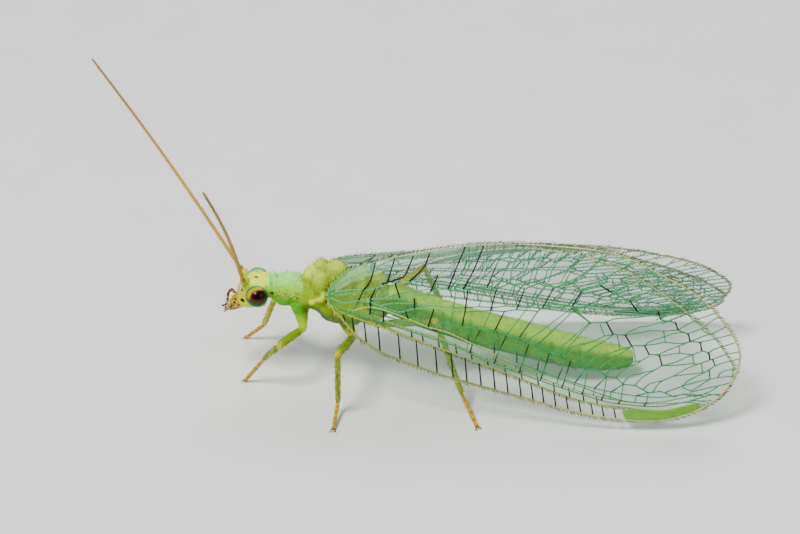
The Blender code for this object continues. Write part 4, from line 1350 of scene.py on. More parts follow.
FORE_LONG = (
    (((-2.62, 2.16), (-2.30, 2.40), (-2.03, 2.55), (-1.38, 2.79), (-0.11, 3.25), (1.29, 3.75),
      (2.91, 4.35), (4.36, 4.90), (5.88, 5.49), (6.91, 5.80), (8.24, 6.07), (9.30, 6.20),
      (10.30, 6.16)), 0.030, YELLOWISH),
    (((-2.64, 2.10), (-2.36, 2.30), (-2.08, 2.42), (-1.40, 2.62), (-0.11, 3.03), (0.74, 3.30),
      (2.07, 3.75), (2.85, 4.13), (3.62, 4.43), (4.41, 4.73), (5.88, 5.25), (6.77, 5.53),
      (7.67, 5.80), (8.56, 5.91), (9.45, 5.96), (10.11, 5.87), (10.61, 5.80), (11.25, 5.90)), 0.033,
      GREEN),
    (((-1.90, 2.46), (-1.03, 2.30), (0.00, 2.62), (1.03, 3.03), (1.79, 3.25), (2.66, 3.65),
      (3.64, 4.11), (4.41, 4.43), (5.88, 4.96), (6.55, 5.18), (7.36, 5.49), (8.20, 5.74),
      (8.83, 5.82), (9.70, 5.78), (10.50, 5.62), (11.20, 5.50), (11.75, 5.55)), 0.028,
      rear_stem_tints),
    (((-2.65, 1.95), (-2.30, 2.06), (-2.01, 2.14), (-1.58, 2.07), (-1.09, 2.00), (-0.37, 1.98),
      (-0.02, 1.98), (0.52, 1.96), (1.10, 1.74), (1.73, 1.64), (2.50, 1.66)), 0.028, MINT),
    (((-1.30, 2.05), (-1.10, 2.11), (-0.55, 2.33), (-0.04, 2.48), (0.29, 2.42), (0.59, 2.36),
      (1.47, 2.38), (2.39, 2.48)), 0.027, MINT),
    (((-2.66, 1.84), (-2.03, 1.68), (-1.40, 1.66), (-0.92, 1.63), (-0.48, 1.40), (0.10, 1.42),
      (0.60, 1.30), (1.40, 1.10), (2.10, 0.60), (2.60, 0.05)), 0.026, MINT),
    (((-2.66, 1.80), (-2.21, 1.85), (-1.73, 1.77), (-1.36, 1.72)), 0.026, MINT),
    (((-2.60, 1.70), (-2.02, 1.30), (-1.30, 1.02), (-0.50, 0.80), (0.40, 0.60), (1.20, 0.28)),
      0.024, MINT),
)
PSM_LOW = ((1.37, 3.19), (2.95, 3.16), (3.91, 3.35), (4.74, 3.66), (5.50, 3.98), (6.27, 4.28),
           (6.89, 4.57), (7.61, 4.85), (8.22, 5.14), (9.14, 5.45), (10.10, 5.60), (10.67, 5.57))
PSM_UP = ((2.29, 2.97), (3.50, 3.14), (4.40, 3.41), (5.11, 3.64), (5.92, 4.06), (6.58, 4.32),
          (7.28, 4.59), (7.96, 4.90), (8.66, 5.18), (9.60, 5.40), (10.44, 5.49))
A_LOW = ((2.39, 2.48), (3.84, 2.46), (5.07, 2.45), (6.43, 2.39), (7.01, 2.88), (7.84, 3.30),
         (8.52, 3.72), (9.17, 4.05), (9.64, 4.43))
A_UP = ((3.33, 2.42), (4.29, 2.39), (5.24, 2.33), (6.35, 2.26), (7.59, 2.84), (8.29, 3.33),
        (9.00, 3.71), (9.53, 4.04))
B_LOW = ((2.50, 1.66), (3.56, 1.63), (4.59, 1.63), (5.67, 1.58), (6.67, 1.72), (7.79, 1.75),
         (8.74, 2.46), (9.59, 2.76), (10.22, 3.14), (10.67, 3.56), (11.10, 3.90), (11.40, 4.23))
B_UP = ((2.95, 1.54), (4.05, 1.41), (5.30, 1.35), (6.40, 1.38), (7.39, 1.51), (8.47, 2.08),
        (9.50, 2.45), (10.14, 2.86), (10.61, 3.28), (11.05, 3.59), (11.37, 3.98))


def zigzag(low, up):
    """Thread two rows of corners into one zigzag line, in order along the wing."""
    return sorted([*low, *up])


print("zigzag corners:", len(zigzag(PSM_LOW, PSM_UP)), len(zigzag(A_LOW, A_UP)), len(zigzag(B_LOW, B_UP)))

# %% [markdown]
# ## Laying a vein on the wing
# `lay_vein` walks along a vein's line in short steps, so that the vein follows the wing's bulge, and
# tapers it. Its darkness at each end is a share between the vein's own colour and black-brown, as
# real crossveins are often black where they leave one vein and green where they reach the next. The
# far wings' veins are faded toward pale mint and their black softened, a painted light for how they
# look through two films.

# %% Lay veins
VEIN_STEP = 0.16
EDGE_THICK = {"fore": (0.042, 0.027), "hind": (0.032, 0.026)}
ZIGZAGS = ((PSM_LOW, PSM_UP), (A_LOW, A_UP), (B_LOW, B_UP))
DARK_FALLS = 6.4
FORK_LENGTH = 0.5
FORK_SPREAD = 0.17
# Painted light: how far the far wings' veins fade toward pale mint.
FAR_PAINTED_MINT = colour("a4ecc8")
FAR_PAINTED_FADE = {"left": 0.0, "right": 0.75}


def front_edge_tints(rows):
    """Return the front edge's colours: yellow-green at the root, then olive, then pale."""
    tints = blend(np.tile(YELLOWISH, (len(rows), 1)), OLIVE, step_up(rows[:, 0], -2.4, -0.8))
    return blend(tints, PALE, step_up(rows[:, 0], 3.0, 8.0))


def rear_edge_tints(rows):
    """Return the rear edge's colours: mint at the root, then cream, then pale."""
    tints = blend(np.tile(MINT, (len(rows), 1)), CREAM, step_up(rows[:, 0], -1.8, 1.0))
    return blend(tints, PALE, step_up(rows[:, 0], 5.0, 9.0))


def at_lengths(at, lengths, rows):
    """Return the points that lie at given lengths along a line of rows."""
    return np.stack([np.interp(at, lengths, rows[:, 0]), np.interp(at, lengths, rows[:, 1])], axis=1)


def walk(rows):
    """Return points every short step along a line of rows, and each one's share of the way."""
    rows = np.asarray(rows, dtype=float)
    lengths = np.r_[0, np.cumsum(np.linalg.norm(np.diff(rows, axis=0), axis=1))]
    steps = max(int(lengths[-1] / VEIN_STEP), 2)
    at = np.linspace(0, lengths[-1], steps + 1)
    return at_lengths(at, lengths, rows), at / lengths[-1]


def lay_vein(store, rows, thick, tint, wing, dark=(0.0, 0.0), thin=0.75, curved=True, sides=6):
    """Lay one vein on a wing, with a darkness at each end."""
    which, side = wing
    if curved and len(rows) > 2:
        rows = smooth_rows(rows, LINE_STEPS)
    rows, share = walk(rows)
    thick = thick * (1 + 0.36 * (dark[0] + dark[1]) / 2)
    radii = thick * (1 + (thin - 1) * share)
    darkness = dark[0] + (dark[1] - dark[0]) * share
    own = tint(rows) if callable(tint) else np.tile(tint, (len(rows), 1))
    # Painted light: the far wings' veins fade toward pale mint and lose some of their black.
    own = blend(own, FAR_PAINTED_MINT, FAR_PAINTED_FADE[side] * (1 - 0.3 * step_up(rows[:, 0], -1.0, 6.0)))
    tints = blend(own, DARK, step_up(darkness, 0.35, 0.65) * (1 - FAR_PAINTED_FADE[side] * 0.5))
    add_strand(store, wing_places(rows, WINGS[which][2][side], side), radii, sides, tints)
    store["lines"].append((rows, thick, darkness.mean()))


CROSS = 0.024
FORE_RS = FORE_LONG[2][0]
FORE_R1 = FORE_LONG[1][0]
FORE_SC = FORE_LONG[0][0]
COSTAL_CROSS = (-2.75, -2.42, -2.10, -1.77, -1.32, -0.81, -0.07, 0.59, 1.29, 1.88, 2.39, 2.91, 3.42,
                3.90, 4.38, 4.82, 5.22, 5.66, 6.11, 6.58, 7.03, 7.43, 7.87)
RS_CROSS = (2.67, 3.57, 4.47, 5.26, 6.05, 6.79, 7.50, 8.13, 9.08)
FAN_VEINS = (
    ((6.43, 2.39), (7.40, 2.18), (8.47, 2.08)),
    ((7.59, 2.84), (7.95, 2.72), (8.66, 2.68), (9.20, 2.60), (9.50, 2.47)),
    ((6.12, 4.18), (6.33, 3.90), (6.54, 3.76), (7.01, 3.59), (7.24, 3.51), (7.53, 3.36),
     (7.84, 3.32)),
    ((6.58, 4.32), (7.01, 3.87), (7.48, 3.57), (7.84, 3.32)),
    ((6.84, 4.52), (7.10, 4.23), (7.29, 4.13), (7.71, 3.99), (8.10, 3.86), (8.52, 3.74)),
    ((7.28, 4.59), (7.81, 4.20), (8.18, 3.97), (8.52, 3.74)),
    ((7.56, 4.80), (7.76, 4.58), (8.07, 4.44), (8.42, 4.34), (8.86, 4.27), (9.17, 4.10)),
    ((7.96, 4.90), (8.11, 4.70), (8.42, 4.51), (8.86, 4.30)),
    ((8.20, 5.12), (8.37, 4.91), (8.56, 4.80), (8.77, 4.77), (9.10, 4.67), (9.36, 4.62),
     (9.64, 4.45)),
    ((8.66, 5.18), (8.84, 4.95), (9.10, 4.77), (9.36, 4.62)),
    ((8.95, 5.34), (9.12, 5.16), (9.31, 5.08), (9.67, 5.00), (10.14, 4.79), (10.61, 4.53),
     (10.98, 4.39)),
    ((9.30, 5.43), (9.52, 5.12), (9.69, 5.00)),
    ((8.27, 3.33), (8.53, 3.15), (8.84, 3.03), (9.22, 2.97), (9.68, 2.82), (10.14, 2.85)),
    ((8.27, 3.33), (8.84, 3.24), (9.26, 3.16), (9.70, 3.18), (10.22, 3.14)),
    ((9.00, 3.71), (9.19, 3.57), (9.71, 3.39), (10.25, 3.23), (10.61, 3.27)),
    ((9.00, 3.71), (9.40, 3.66), (9.76, 3.59), (10.25, 3.64), (10.67, 3.58)),
    ((9.53, 4.05), (9.81, 3.90), (10.25, 3.73), (10.67, 3.57)),
    ((9.40, 4.06), (9.53, 4.10), (10.30, 3.99), (10.72, 4.05), (11.10, 3.92)),
    ((9.64, 4.45), (10.14, 4.32), (10.51, 4.16), (10.75, 4.06), (11.10, 3.92)),
    ((9.64, 4.45), (10.14, 4.44), (10.79, 4.37), (10.98, 4.39), (11.40, 4.24)),
    ((10.05, 4.84), (10.51, 4.78), (11.12, 4.71), (11.31, 4.65)),
    ((9.75, 5.46), (9.91, 5.38), (10.38, 5.21), (10.61, 5.00), (11.08, 4.77), (11.31, 4.65)),
    ((10.38, 5.22), (10.71, 5.38), (11.08, 5.16), (11.41, 4.95)),
    ((10.38, 5.21), (10.68, 5.12), (11.06, 5.02), (11.41, 4.95), (11.69, 4.89), (12.29, 4.84)),
    ((10.22, 3.14), (10.56, 2.95), (10.92, 2.77), (11.60, 2.52)),
    ((10.61, 3.27), (11.10, 3.08), (11.51, 2.78), (11.74, 2.66)),
    ((11.10, 3.08), (11.28, 3.25), (11.43, 3.30)),
    ((10.67, 3.58), (10.84, 3.50), (11.26, 3.33), (11.43, 3.30), (12.00, 3.02)),
    ((11.05, 3.59), (11.57, 3.47), (12.20, 3.31)),
    ((11.37, 3.97), (11.57, 3.84), (11.85, 3.76), (12.35, 3.60)),
    ((11.40, 4.24), (11.59, 4.18), (12.01, 4.04), (12.50, 3.94)),
    ((11.31, 4.65), (11.62, 4.45), (12.01, 4.32), (12.48, 4.20)),
    ((11.69, 4.89), (11.78, 4.74), (11.92, 4.65), (12.38, 4.56)),
    ((10.70, 5.43), (11.27, 5.29), (11.69, 5.20), (12.10, 5.10)),
    ((10.66, 5.54), (10.85, 5.59), (11.32, 5.45), (11.69, 5.24)),
    ((10.70, 5.74), (11.41, 5.54), (11.80, 5.50)),
)
FAN_CROSS = (
    (((7.36, 2.90), (7.46, 3.19), (7.53, 3.36)), 0),
    (((7.99, 3.33), (8.07, 3.66), (8.10, 3.86)), 0),
    (((8.56, 3.74), (8.63, 4.04), (8.68, 4.30)), 0), (((9.70, 3.18), (9.77, 3.59)), 0),
    (((10.27, 3.72), (10.29, 3.99)), 0), (((10.77, 4.06), (10.81, 4.37)), 0),
    (((11.10, 4.36), (11.14, 4.70)), 0), (((11.50, 4.21), (11.60, 4.46)), 1),
    (((11.38, 4.62), (11.41, 4.95)), 0.5),
)
EDGE_VEINS = (
    ((2.03, 1.58), (2.81, 0.44)), ((2.78, 1.60), (3.45, 0.53)), ((4.43, 1.32), (4.95, 0.29)),
    ((4.93, 1.38), (5.15, 0.65), (5.60, 0.20)), ((5.47, 1.38), (5.64, 0.85), (6.20, 0.16)),
    ((6.09, 1.35), (6.37, 0.86), (6.90, 0.30)), ((6.45, 1.38), (6.95, 0.99), (7.60, 0.36)),
    ((7.41, 1.50), (7.92, 1.02), (8.69, 0.64)), ((7.90, 1.80), (8.56, 1.41), (9.35, 0.98)),
    ((8.47, 2.08), (9.10, 1.74), (9.86, 1.26)), ((9.00, 2.48), (9.83, 2.24), (10.42, 1.60)),
    ((9.59, 2.73), (10.41, 2.30), (10.98, 1.92)), ((9.80, 2.85), (10.69, 2.51), (11.30, 2.22)),
)
FORE_BASAL = (
    (((-2.02, 2.59), (-1.66, 2.30), (-1.36, 1.69)), 0.1, 0.9),
    (((-1.36, 1.69), (-1.09, 1.33), (-0.90, 0.62)), 1, 1), (((-0.48, 1.42), (-0.20, 0.52)), 1, 1),
    (((-0.66, 1.45), (-0.07, 1.26), (0.17, 1.14), (0.50, 0.40)), 1, 1),
    (((0.35, 1.36), (0.88, 0.82), (1.10, 0.30)), 1, 1), (((-1.10, 2.04), (-0.90, 1.60)), 1, 1),
    (((-1.09, 2.08), (-1.10, 2.56)), 1, 1), (((-0.18, 1.42), (0.00, 1.98)), 1, 1),
    (((0.53, 1.98), (0.53, 2.36)), 1, 1), (((1.12, 1.74), (1.40, 1.12)), 1, 1),
    (((1.77, 1.64), (2.02, 1.00), (2.41, 0.06)), 1, 0.6),
    (((2.32, 1.64), (2.69, 0.99), (3.08, 0.04)), 1, 0.6), (((3.21, 1.56), (3.88, -0.02)), 0.9, 0.0),
    (((3.57, 1.60), (4.33, -0.02)), 0.2, 0.0),
    (((4.06, 1.40), (4.15, 0.83), (4.60, 0.00)), 0.4, 0.0), (((1.03, 3.03), (1.25, 2.38)), 1, 1),
    (((0.30, 2.74), (0.20, 2.45)), 1, 1), (((-0.60, 2.45), (-0.62, 2.90)), 1, 1),
    (((1.37, 3.19), (1.20, 3.10)), 1, 1),
)


def forks(store, rows, wing, thick, margin):
    """Lay a vein that forks a little before the wing's edge."""
    start = np.array(rows[0])
    end = np.array(rows[-1])
    way = end - np.array(rows[-2])
    way = way / np.linalg.norm(way)
    split = end - way * FORK_LENGTH
    lay_vein(store, [start, *[np.array(row) for row in rows[1:-1]], split], thick, GREEN, wing, sides=5)
    for spread in (-FORK_SPREAD, FORK_SPREAD):
        across = np.array([way[1], -way[0]]) * spread
        tip = split + way * FORK_LENGTH + across
        to_edge = margin - tip
        tip = margin[np.argmin((to_edge ** 2).sum(axis=1))]
        lay_vein(store, [split, tip], thick * 0.8, GREEN, wing, curved=False, sides=5)


def forewing_net(side):
    """Lay the forewing's whole net of veins."""
    wing = ("fore", side)
    store = new_store()
    lay_vein(store, FORE_COSTA, EDGE_THICK["fore"][0], front_edge_tints, wing, thin=0.9)
    lay_vein(store, FORE_HIND, EDGE_THICK["fore"][1], rear_edge_tints, wing, thin=1.05)
    for rows, thick, tint in FORE_LONG:
        lay_vein(store, rows, thick, tint, wing, thin=0.6)
    for low, up in ZIGZAGS:
        corners = zigzag(low, up)
        for first, second in zip(corners, corners[1:]):
            falls = first in up and second in low and first[0] > DARK_FALLS
            dark = (0.8, 0.8) if falls and low is not PSM_LOW else (0.0, 0.0)
            lay_vein(store, [first, second], 0.024, GREEN, wing, dark=dark, thin=1.0, curved=False)
    for along in COSTAL_CROSS:
        low = (along + 0.08, line_height(FORE_COSTA, along + 0.08))
        high = (along, line_height(FORE_SC, along))
        lay_vein(store, [low, high], CROSS, GREEN, wing, dark=(1, 1))
    for index, along in enumerate(RS_CROSS):
        rs_place = (along, line_height(FORE_RS, along))
        foot = (along - 0.10, line_height(FORE_R1, along - 0.10))
        lay_vein(store, [foot, rs_place], CROSS, GREEN, wing, dark=(1, 1))
        if index < len(PSM_LOW) - 1:
            dark = (0.2, 1.0) if index < 5 else (0.2, 0.3)
            lay_vein(store, [rs_place, PSM_LOW[index + 1]], CROSS, GREEN, wing, dark=dark)
    for start, end, dark in zip(PSM_UP, A_LOW, (1, 1, 0.6, 0.5, 0.4)):
        lay_vein(store, [start, end], CROSS, GREEN, wing, dark=(dark, dark * 0.8))
    for start, end in zip(((2.39, 2.48), *A_UP[:4]), B_LOW):
        lay_vein(store, [start, end], CROSS, GREEN, wing, dark=(0.9, 0.75))
    for rows in FAN_VEINS:
        lay_vein(store, rows, CROSS, GREEN, wing, thin=0.9)
    for rows, dark in FAN_CROSS:
        lay_vein(store, rows, CROSS, GREEN, wing, dark=(dark, dark))
    margin = walk(smooth_rows(FORE_HIND, LINE_STEPS))[0]
    for rows in EDGE_VEINS:
        forks(store, rows, wing, CROSS, margin)
    tip_margin = walk(smooth_rows(FORE_COSTA, LINE_STEPS))[0]
    forks(store, ((10.10, 5.87), (10.80, 5.74), (11.50, 5.78)), wing, CROSS, tip_margin)
    for rows, start_dark, end_dark in FORE_BASAL:
        lay_vein(store, rows, CROSS * 1.1, GREEN, wing, dark=(start_dark, end_dark))
    return store


vein_skin = tinted("vein_tube", 0.45, 0.08, 0.006, 0.2, Specular_IOR_Level=0.25)
nets = {}
for side in SIDES:
    nets["fore", side] = forewing_net(side)
    settle(stored_mesh(nets["fore", side], "net", vein_skin), "forewing_" + side + "_veins", "wing_vein")

# %% [markdown]
# ## The hindwing's net
# The hindwing is a little shorter and starts further back. Its net follows the same plan, moved a
# touch forward and toward the ridge, and cut at its own edge. It is greener: only the short
# crossveins behind its front edge and the lower halves of a few others are black.

# %% Veins of the hindwing
HIND_RISE = -0.14
HIND_BACK = -0.42
HIND_EASE = (4.5, 7.5)
HIND_SC = ((-1.20, 2.50), (-0.30, 2.90), (0.60, 3.18), (1.79, 3.56), (2.91, 4.06), (4.36, 4.60),
           (5.88, 5.16), (7.00, 5.52), (8.30, 5.78), (9.40, 5.86), (10.40, 5.82))
HIND_R1 = ((-1.20, 2.46), (-0.30, 2.70), (0.74, 3.02), (2.07, 3.44), (3.62, 4.08), (4.41, 4.38),
           (5.88, 4.90), (7.20, 5.30), (8.50, 5.54), (9.60, 5.62), (10.60, 5.50), (11.30, 5.60))
HIND_CROSS = (0.40, 0.81, 1.40, 2.04, 2.61, 3.20, 3.84, 4.45, 5.06, 5.65, 6.21, 6.73, 7.23)
HIND_TOPS = (2.73, 3.69, 4.52, 5.28, 6.05, 6.67, 7.39, 8.00, 8.92)


def raised(rows):
    """Move rows of corners forward a little and toward the ridge, less and less toward the tip."""
    moved = []
    for along, down in rows:
        share = 1 - float(step_up(along, *HIND_EASE))
        moved.append((along + HIND_BACK * share, down + HIND_RISE * share))
    return tuple(moved)


def inside(rows, costa, hind, margin=0.05):
    """Keep rows between the hindwing's own edges."""
    kept = []
    for along, down in rows:
        along = min(along, costa[-1][0] - 0.08)
        low = line_height(costa, along) - margin
        high = line_height(hind, along) + margin
        kept.append((along, min(max(down, high), low)))
    return kept


def up_to_edge(rows, costa, hind):
    """Follow a vein from its start and stop where it comes to the wing's edge."""
    rows = walk(smooth_rows(rows, LINE_STEPS))[0]
    low = line_height(costa, rows[:, 0])
    high = line_height(hind, rows[:, 0])
    outside = (rows[:, 1] > low) | (rows[:, 1] < high)
    return rows[:np.argmax(outside)] if outside.any() else rows


def hindwing_net(side):
    """Lay the hindwing's whole net of veins."""
    wing = ("hind", side)
    store = new_store()
    lay_vein(store, HIND_COSTA, EDGE_THICK["hind"][0], front_edge_tints, wing, thin=0.9)
    lay_vein(store, HIND_HIND, EDGE_THICK["hind"][1], rear_edge_tints, wing, thin=1.0)
    lay_vein(store, HIND_SC, 0.028, YELLOWISH, wing, thin=0.6)
    lay_vein(store, HIND_R1, 0.029, GREEN, wing, thin=0.6)
    for low, up in ZIGZAGS:
        corners = inside(raised(zigzag(low, up)), HIND_COSTA, HIND_HIND)
        lay_vein(store, corners, 0.022, GREEN, wing, thin=0.9, curved=False)
    lay_vein(store, ((-1.15, 2.40), (-0.20, 2.50), (0.60, 2.72), (1.00, 3.05)), 0.025, GREEN, wing)
    lay_vein(store, ((-1.10, 2.34), (-0.20, 2.16), (1.00, 2.22), (1.97, 2.34)), 0.025, MINT, wing)
    lay_vein(store, ((-1.05, 2.26), (-0.30, 1.86), (0.90, 1.66), (2.08, 1.52)), 0.025, MINT, wing)
    for along in HIND_CROSS:
        low = (along + 0.05, line_height(HIND_COSTA, along + 0.05))
        lay_vein(store, [low, (along, line_height(HIND_SC, along))], CROSS, GREEN, wing, dark=(1, 1))
    for index, along in enumerate(HIND_TOPS):
        foot = (along - 0.22, line_height(HIND_R1, along - 0.22))
        top = raised([PSM_LOW[index + 1]])[0] if index + 1 < len(PSM_LOW) else (along, 5.4)
        lay_vein(store, [foot, top], CROSS, GREEN, wing, dark=(1.0, 0.0))
        start = (foot[0] - 0.05, line_height(HIND_SC, foot[0] - 0.05))
        lay_vein(store, [start, foot], CROSS, GREEN, wing)
    for start, end in zip(raised(PSM_UP[:5]), raised(A_LOW)):
        lay_vein(store, [start, end], CROSS * 0.9, GREEN, wing, dark=(0.3, 0.0))
    for start, end in zip(raised(((2.39, 2.48), *A_UP[:4])), raised(B_LOW)):
        lay_vein(store, [start, end], CROSS * 0.9, GREEN, wing)
    for rows in (*FAN_VEINS, *(rows for rows, dark in FAN_CROSS)):
        rows = up_to_edge(raised(rows), HIND_COSTA, HIND_HIND)
        if len(rows) > 2:
            lay_vein(store, rows, CROSS * 0.9, GREEN, wing, curved=False)
    margin = walk(smooth_rows(HIND_HIND, LINE_STEPS))[0]
    for rows in EDGE_VEINS:
        rows = inside([(along - 0.18, down + 0.06) for along, down in rows], HIND_COSTA, HIND_HIND)
        forks(store, rows, wing, CROSS * 0.9, margin)
    return store


for side in SIDES:
    nets["hind", side] = hindwing_net(side)
    settle(stored_mesh(nets["hind", side], "net", vein_skin), "hindwing_" + side + "_veins", "wing_vein")

# %% [markdown]
# ## Hairs
# Every hair is a solid needle with three sides that bends at its middle and ends in a point, ten
# triangles in all. `hair_piece` makes many at once from arrays: where each root is, which way the
# surface faces there, which way the hair leans, how long and thick it is, and its colour. Each hair
# also gets a small round patch on a map called OFBake, at its root's place when the surface is laid
# out flat, so that colour can be baked for it later. All draws of chance come from one seeded
# generator, so the coat is the same each time.

# %% Hairs from arrays
chance = np.random.default_rng(2024)
PATCH = 0.0015
TURNS = np.arange(3) * 2 * math.pi / 3


def unit(rows):
    """Return rows scaled to a length of one."""
    return rows / np.maximum(np.linalg.norm(rows, axis=1), 1e-9)[:, None]


def hair_piece(name, material, roots, normals, ways, stand, lengths, thick, tints, spots):
    """Make one piece of many hairs that stand off a surface by a share and lean along a way."""
    count = len(roots)
    rise = unit(normals * np.reshape(stand, (-1, 1)) + ways * (1 - np.reshape(stand, (-1, 1)))
                + chance.normal(0, 0.12, (count, 3)))
    droop = unit(rise + ways * 0.35)
    lengths = np.broadcast_to(lengths, count)[:, None]
    thick = np.broadcast_to(thick, count)[:, None]
    first = unit(np.cross(rise, normals + 0.01))
    second = np.cross(rise, first)
    base = roots - rise * thick
    middle = roots + rise * lengths * 0.5
    tip = middle + droop * lengths * 0.5
    points = np.empty((count, 7, 3))
    patches = np.empty((count, 7, 2))
    for index, angle in enumerate(TURNS):
        around = first * math.cos(angle) + second * math.sin(angle)
        flat = np.array((math.cos(angle), math.sin(angle)))
        points[:, index] = base + around * thick
        points[:, index + 3] = middle + around * thick * 0.7
        patches[:, index] = spots + flat * PATCH
        patches[:, index + 3] = spots + flat * PATCH * 0.5
    points[:, 6] = tip
    patches[:, 6] = spots
    starts = np.arange(count)[:, None] * 7
    corners = [starts + np.array(face) for face in ((0, 1, 4, 3), (1, 2, 5, 4), (2, 0, 3, 5))]
    points_of = [starts + np.array(face) for face in ((3, 4, 6), (4, 5, 6), (5, 3, 6), (2, 1, 0))]
    faces = [row for block in corners + points_of for row in block.tolist()]
    piece = new_piece(name, points.reshape(-1, 3), faces)
    mesh = piece.data
    paint(piece, np.repeat(tints, 7, axis=0))
    held = np.empty(len(mesh.loops), dtype=np.int64)
    mesh.loops.foreach_get("vertex_index", held)
    layer = mesh.uv_layers.new(name="OFBake")
    layer.data.foreach_set("uv", patches.reshape(-1, 2)[held].ravel())
    piece.data.materials.append(material)
    return settle(piece, name, "bristle", smooth=False)


bristle_skin = tinted("fine_bristle", 0.45, 0.05, 0.002, 0.15, Specular_IOR_Level=0.35)
print("hair helper ready")

# %% [markdown]
# ## The coat of the skin
# Roots are scattered evenly over the skin's triangles, with a density for each region in hairs to the
# square millimetre. Pale hairs stand up on the thorax, finer ones lie back along the abdomen, short
# ones dot the head, and dark ones point down the legs. The Boolean union lists the legs' faces in
# another order each time, so the triangles are put in order by their places first, and every run
# grows the same hairs. To lay the skin out flat, the body is unrolled round its long axis, and each
# leg is unrolled round its own into a strip beside it.

# %% Scatter roots on the skin
LEG_REACH = (0.19, 0.14, 0.11)
LEG_UNROLL = (0.3, 0.9, 0.1)
ORDER_WAY = (1.0, 0.7311, 0.4217)
held = np.empty(len(skin.data.loop_triangles) * 3, dtype=np.int64)
skin.data.loop_triangles.foreach_get("vertices", held)
corners = skin_places[held.reshape(-1, 3)]
lead = (corners * ORDER_WAY).sum(axis=2).argmin(axis=1)
corners = np.take_along_axis(corners, (lead[:, None, None] + np.arange(3)[None, :, None]) % 3, axis=1)
corners = corners[np.lexsort(corners.sum(axis=1).T)]
span = np.cross(corners[:, 1] - corners[:, 0], corners[:, 2] - corners[:, 0])
areas = np.linalg.norm(span, axis=1) / 2
faces_to = unit(span)
centres = corners.mean(axis=1)
leg_of = np.full(len(centres), -1)
leg_way = np.zeros_like(centres)
leg_map = np.zeros((len(centres), 2))
for index, (leg, joints) in enumerate(LEG_JOINTS.items()):
    for part, (start, end, reach) in enumerate(zip(joints[1:4], joints[2:5], LEG_REACH)):
        off, share = nearest_on(centres, start, end)
        near = (off < reach) & (share > 0.03)
        way = unit(np.array([Vector(end) - Vector(start)]))[0]
        leg_of[near] = part
        leg_way[near] = way
        beside = faces_to[near] @ np.cross(way, LEG_UNROLL)
        around = np.arctan2(beside, faces_to[near] @ np.array(LEG_UNROLL))
        leg_map[near, 0] = 0.62 + 0.06 * index + 0.05 * (around / (2 * math.pi) + 0.5)
        leg_map[near, 1] = 0.03 + 0.94 * (part + share[near]) / 3
centre_height = np.interp(centres[:, 0], trunk_rows[:, 0], trunk_rows[:, 1])
centre_reach = np.interp(centres[:, 0], trunk_rows[:, 0], trunk_rows[:, 3])
body_rise = (centres[:, 2] - centre_height) / centre_reach
print("triangles on legs:", int((leg_of >= 0).sum()), "elsewhere:", int((leg_of < 0).sum()))


def scatter(density, allowed):
    """Draw roots on the allowed triangles: their places and the triangle of each."""
    drawn = chance.poisson(areas * density * allowed)
    which = np.repeat(np.arange(len(areas)), drawn)
    first = chance.random(len(which))
    second = chance.random(len(which))
    over = first + second > 1
    first[over] = 1 - first[over]
    second[over] = 1 - second[over]
    start, right, left = (corners[which][:, index] for index in range(3))
    return start + (right - start) * first[:, None] + (left - start) * second[:, None], which


def body_spots(roots):
    """Unroll places on the body: along it to the right, round it upward."""
    axis = np.interp(roots[:, 0], trunk_rows[:, 0], trunk_rows[:, 1])
    round_it = np.arctan2(roots[:, 1], roots[:, 2] - axis) / (2 * math.pi) + 0.5
    return np.stack([0.01 + 0.58 * (roots[:, 0] + 6.5) / 15.4, 0.02 + 0.96 * round_it], axis=1)


BACKWARD = np.array((1.0, 0.0, 0.0))
CLEAR = (centres[:, 2] > 0.2) & (np.abs(centres[:, 1]) < 1.25) & (leg_of < 0)

# %% Hairs of the body
REGIONS = (
    ("thorax_hairs", (-3.70, -0.40), (0.25, 9), 26, 0.75, (0.12, 0.26), 0.0085, "c8d480", "5a5020"),
    ("flank_hairs", (-4.80, -0.40), (-9, 0.25), 20, 0.50, (0.07, 0.15), 0.0070, "a8bc50", "44500c"),
    ("neck_hairs", (-4.80, -3.70), (0.15, 9), 48, 0.70, (0.10, 0.24), 0.0090, "c4dca0", "4a3a34"),
    ("abdomen_hairs", (-0.40, 8.75), (-9, 9), 46, 0.42, (0.08, 0.15), 0.0070, "a4c848", "34500a"),
    ("head_hairs", (-6.20, -4.95), (-9, 9), 26, 0.65, (0.05, 0.12), 0.0065, "d0cc60", "4a3c14"),
)
for name, (front, back), (low, high), density, stand, sizes, thick, light, dark in REGIONS:
    here = (centres[:, 0] > front) & (centres[:, 0] <= back)
    roots, which = scatter(density, CLEAR & here & (body_rise > low) & (body_rise <= high))
    count = len(roots)
    ways = unit(BACKWARD - faces_to[which] * (faces_to[which] @ BACKWARD)[:, None] + 0.001)
    share = (chance.random(count) < 0.35).astype(float)
    tints = blend(np.tile(colour(light), (count, 1)), colour(dark), share)
    lengths = chance.uniform(*sizes, count)
    hair_piece(name, bristle_skin, roots, faces_to[which], ways, stand, lengths, thick, tints,
               body_spots(roots))

# %% Hairs of the legs
roots, which = scatter(80, (leg_of >= 0) & (centres[:, 2] > 0.14))
count = len(roots)
share = (chance.random(count) < 0.3).astype(float)
tints = blend(np.tile(colour("3c3208"), (count, 1)), colour("d8d890"), share)
lengths = chance.uniform(0.07, 0.13, count) * np.where(leg_of[which] == 2, 0.7, 1.0)
hair_piece("leg_hairs", bristle_skin, roots, faces_to[which], leg_way[which], 0.42, lengths, 0.0085,
           tints, leg_map[which])

# %% [markdown]
# ## Bristles of the feelers
# Each joint of a feeler's whip wears a ring of short bristles that point toward its tip. The flat
# layout is the whip unrolled: along it to the right, and round it upward.

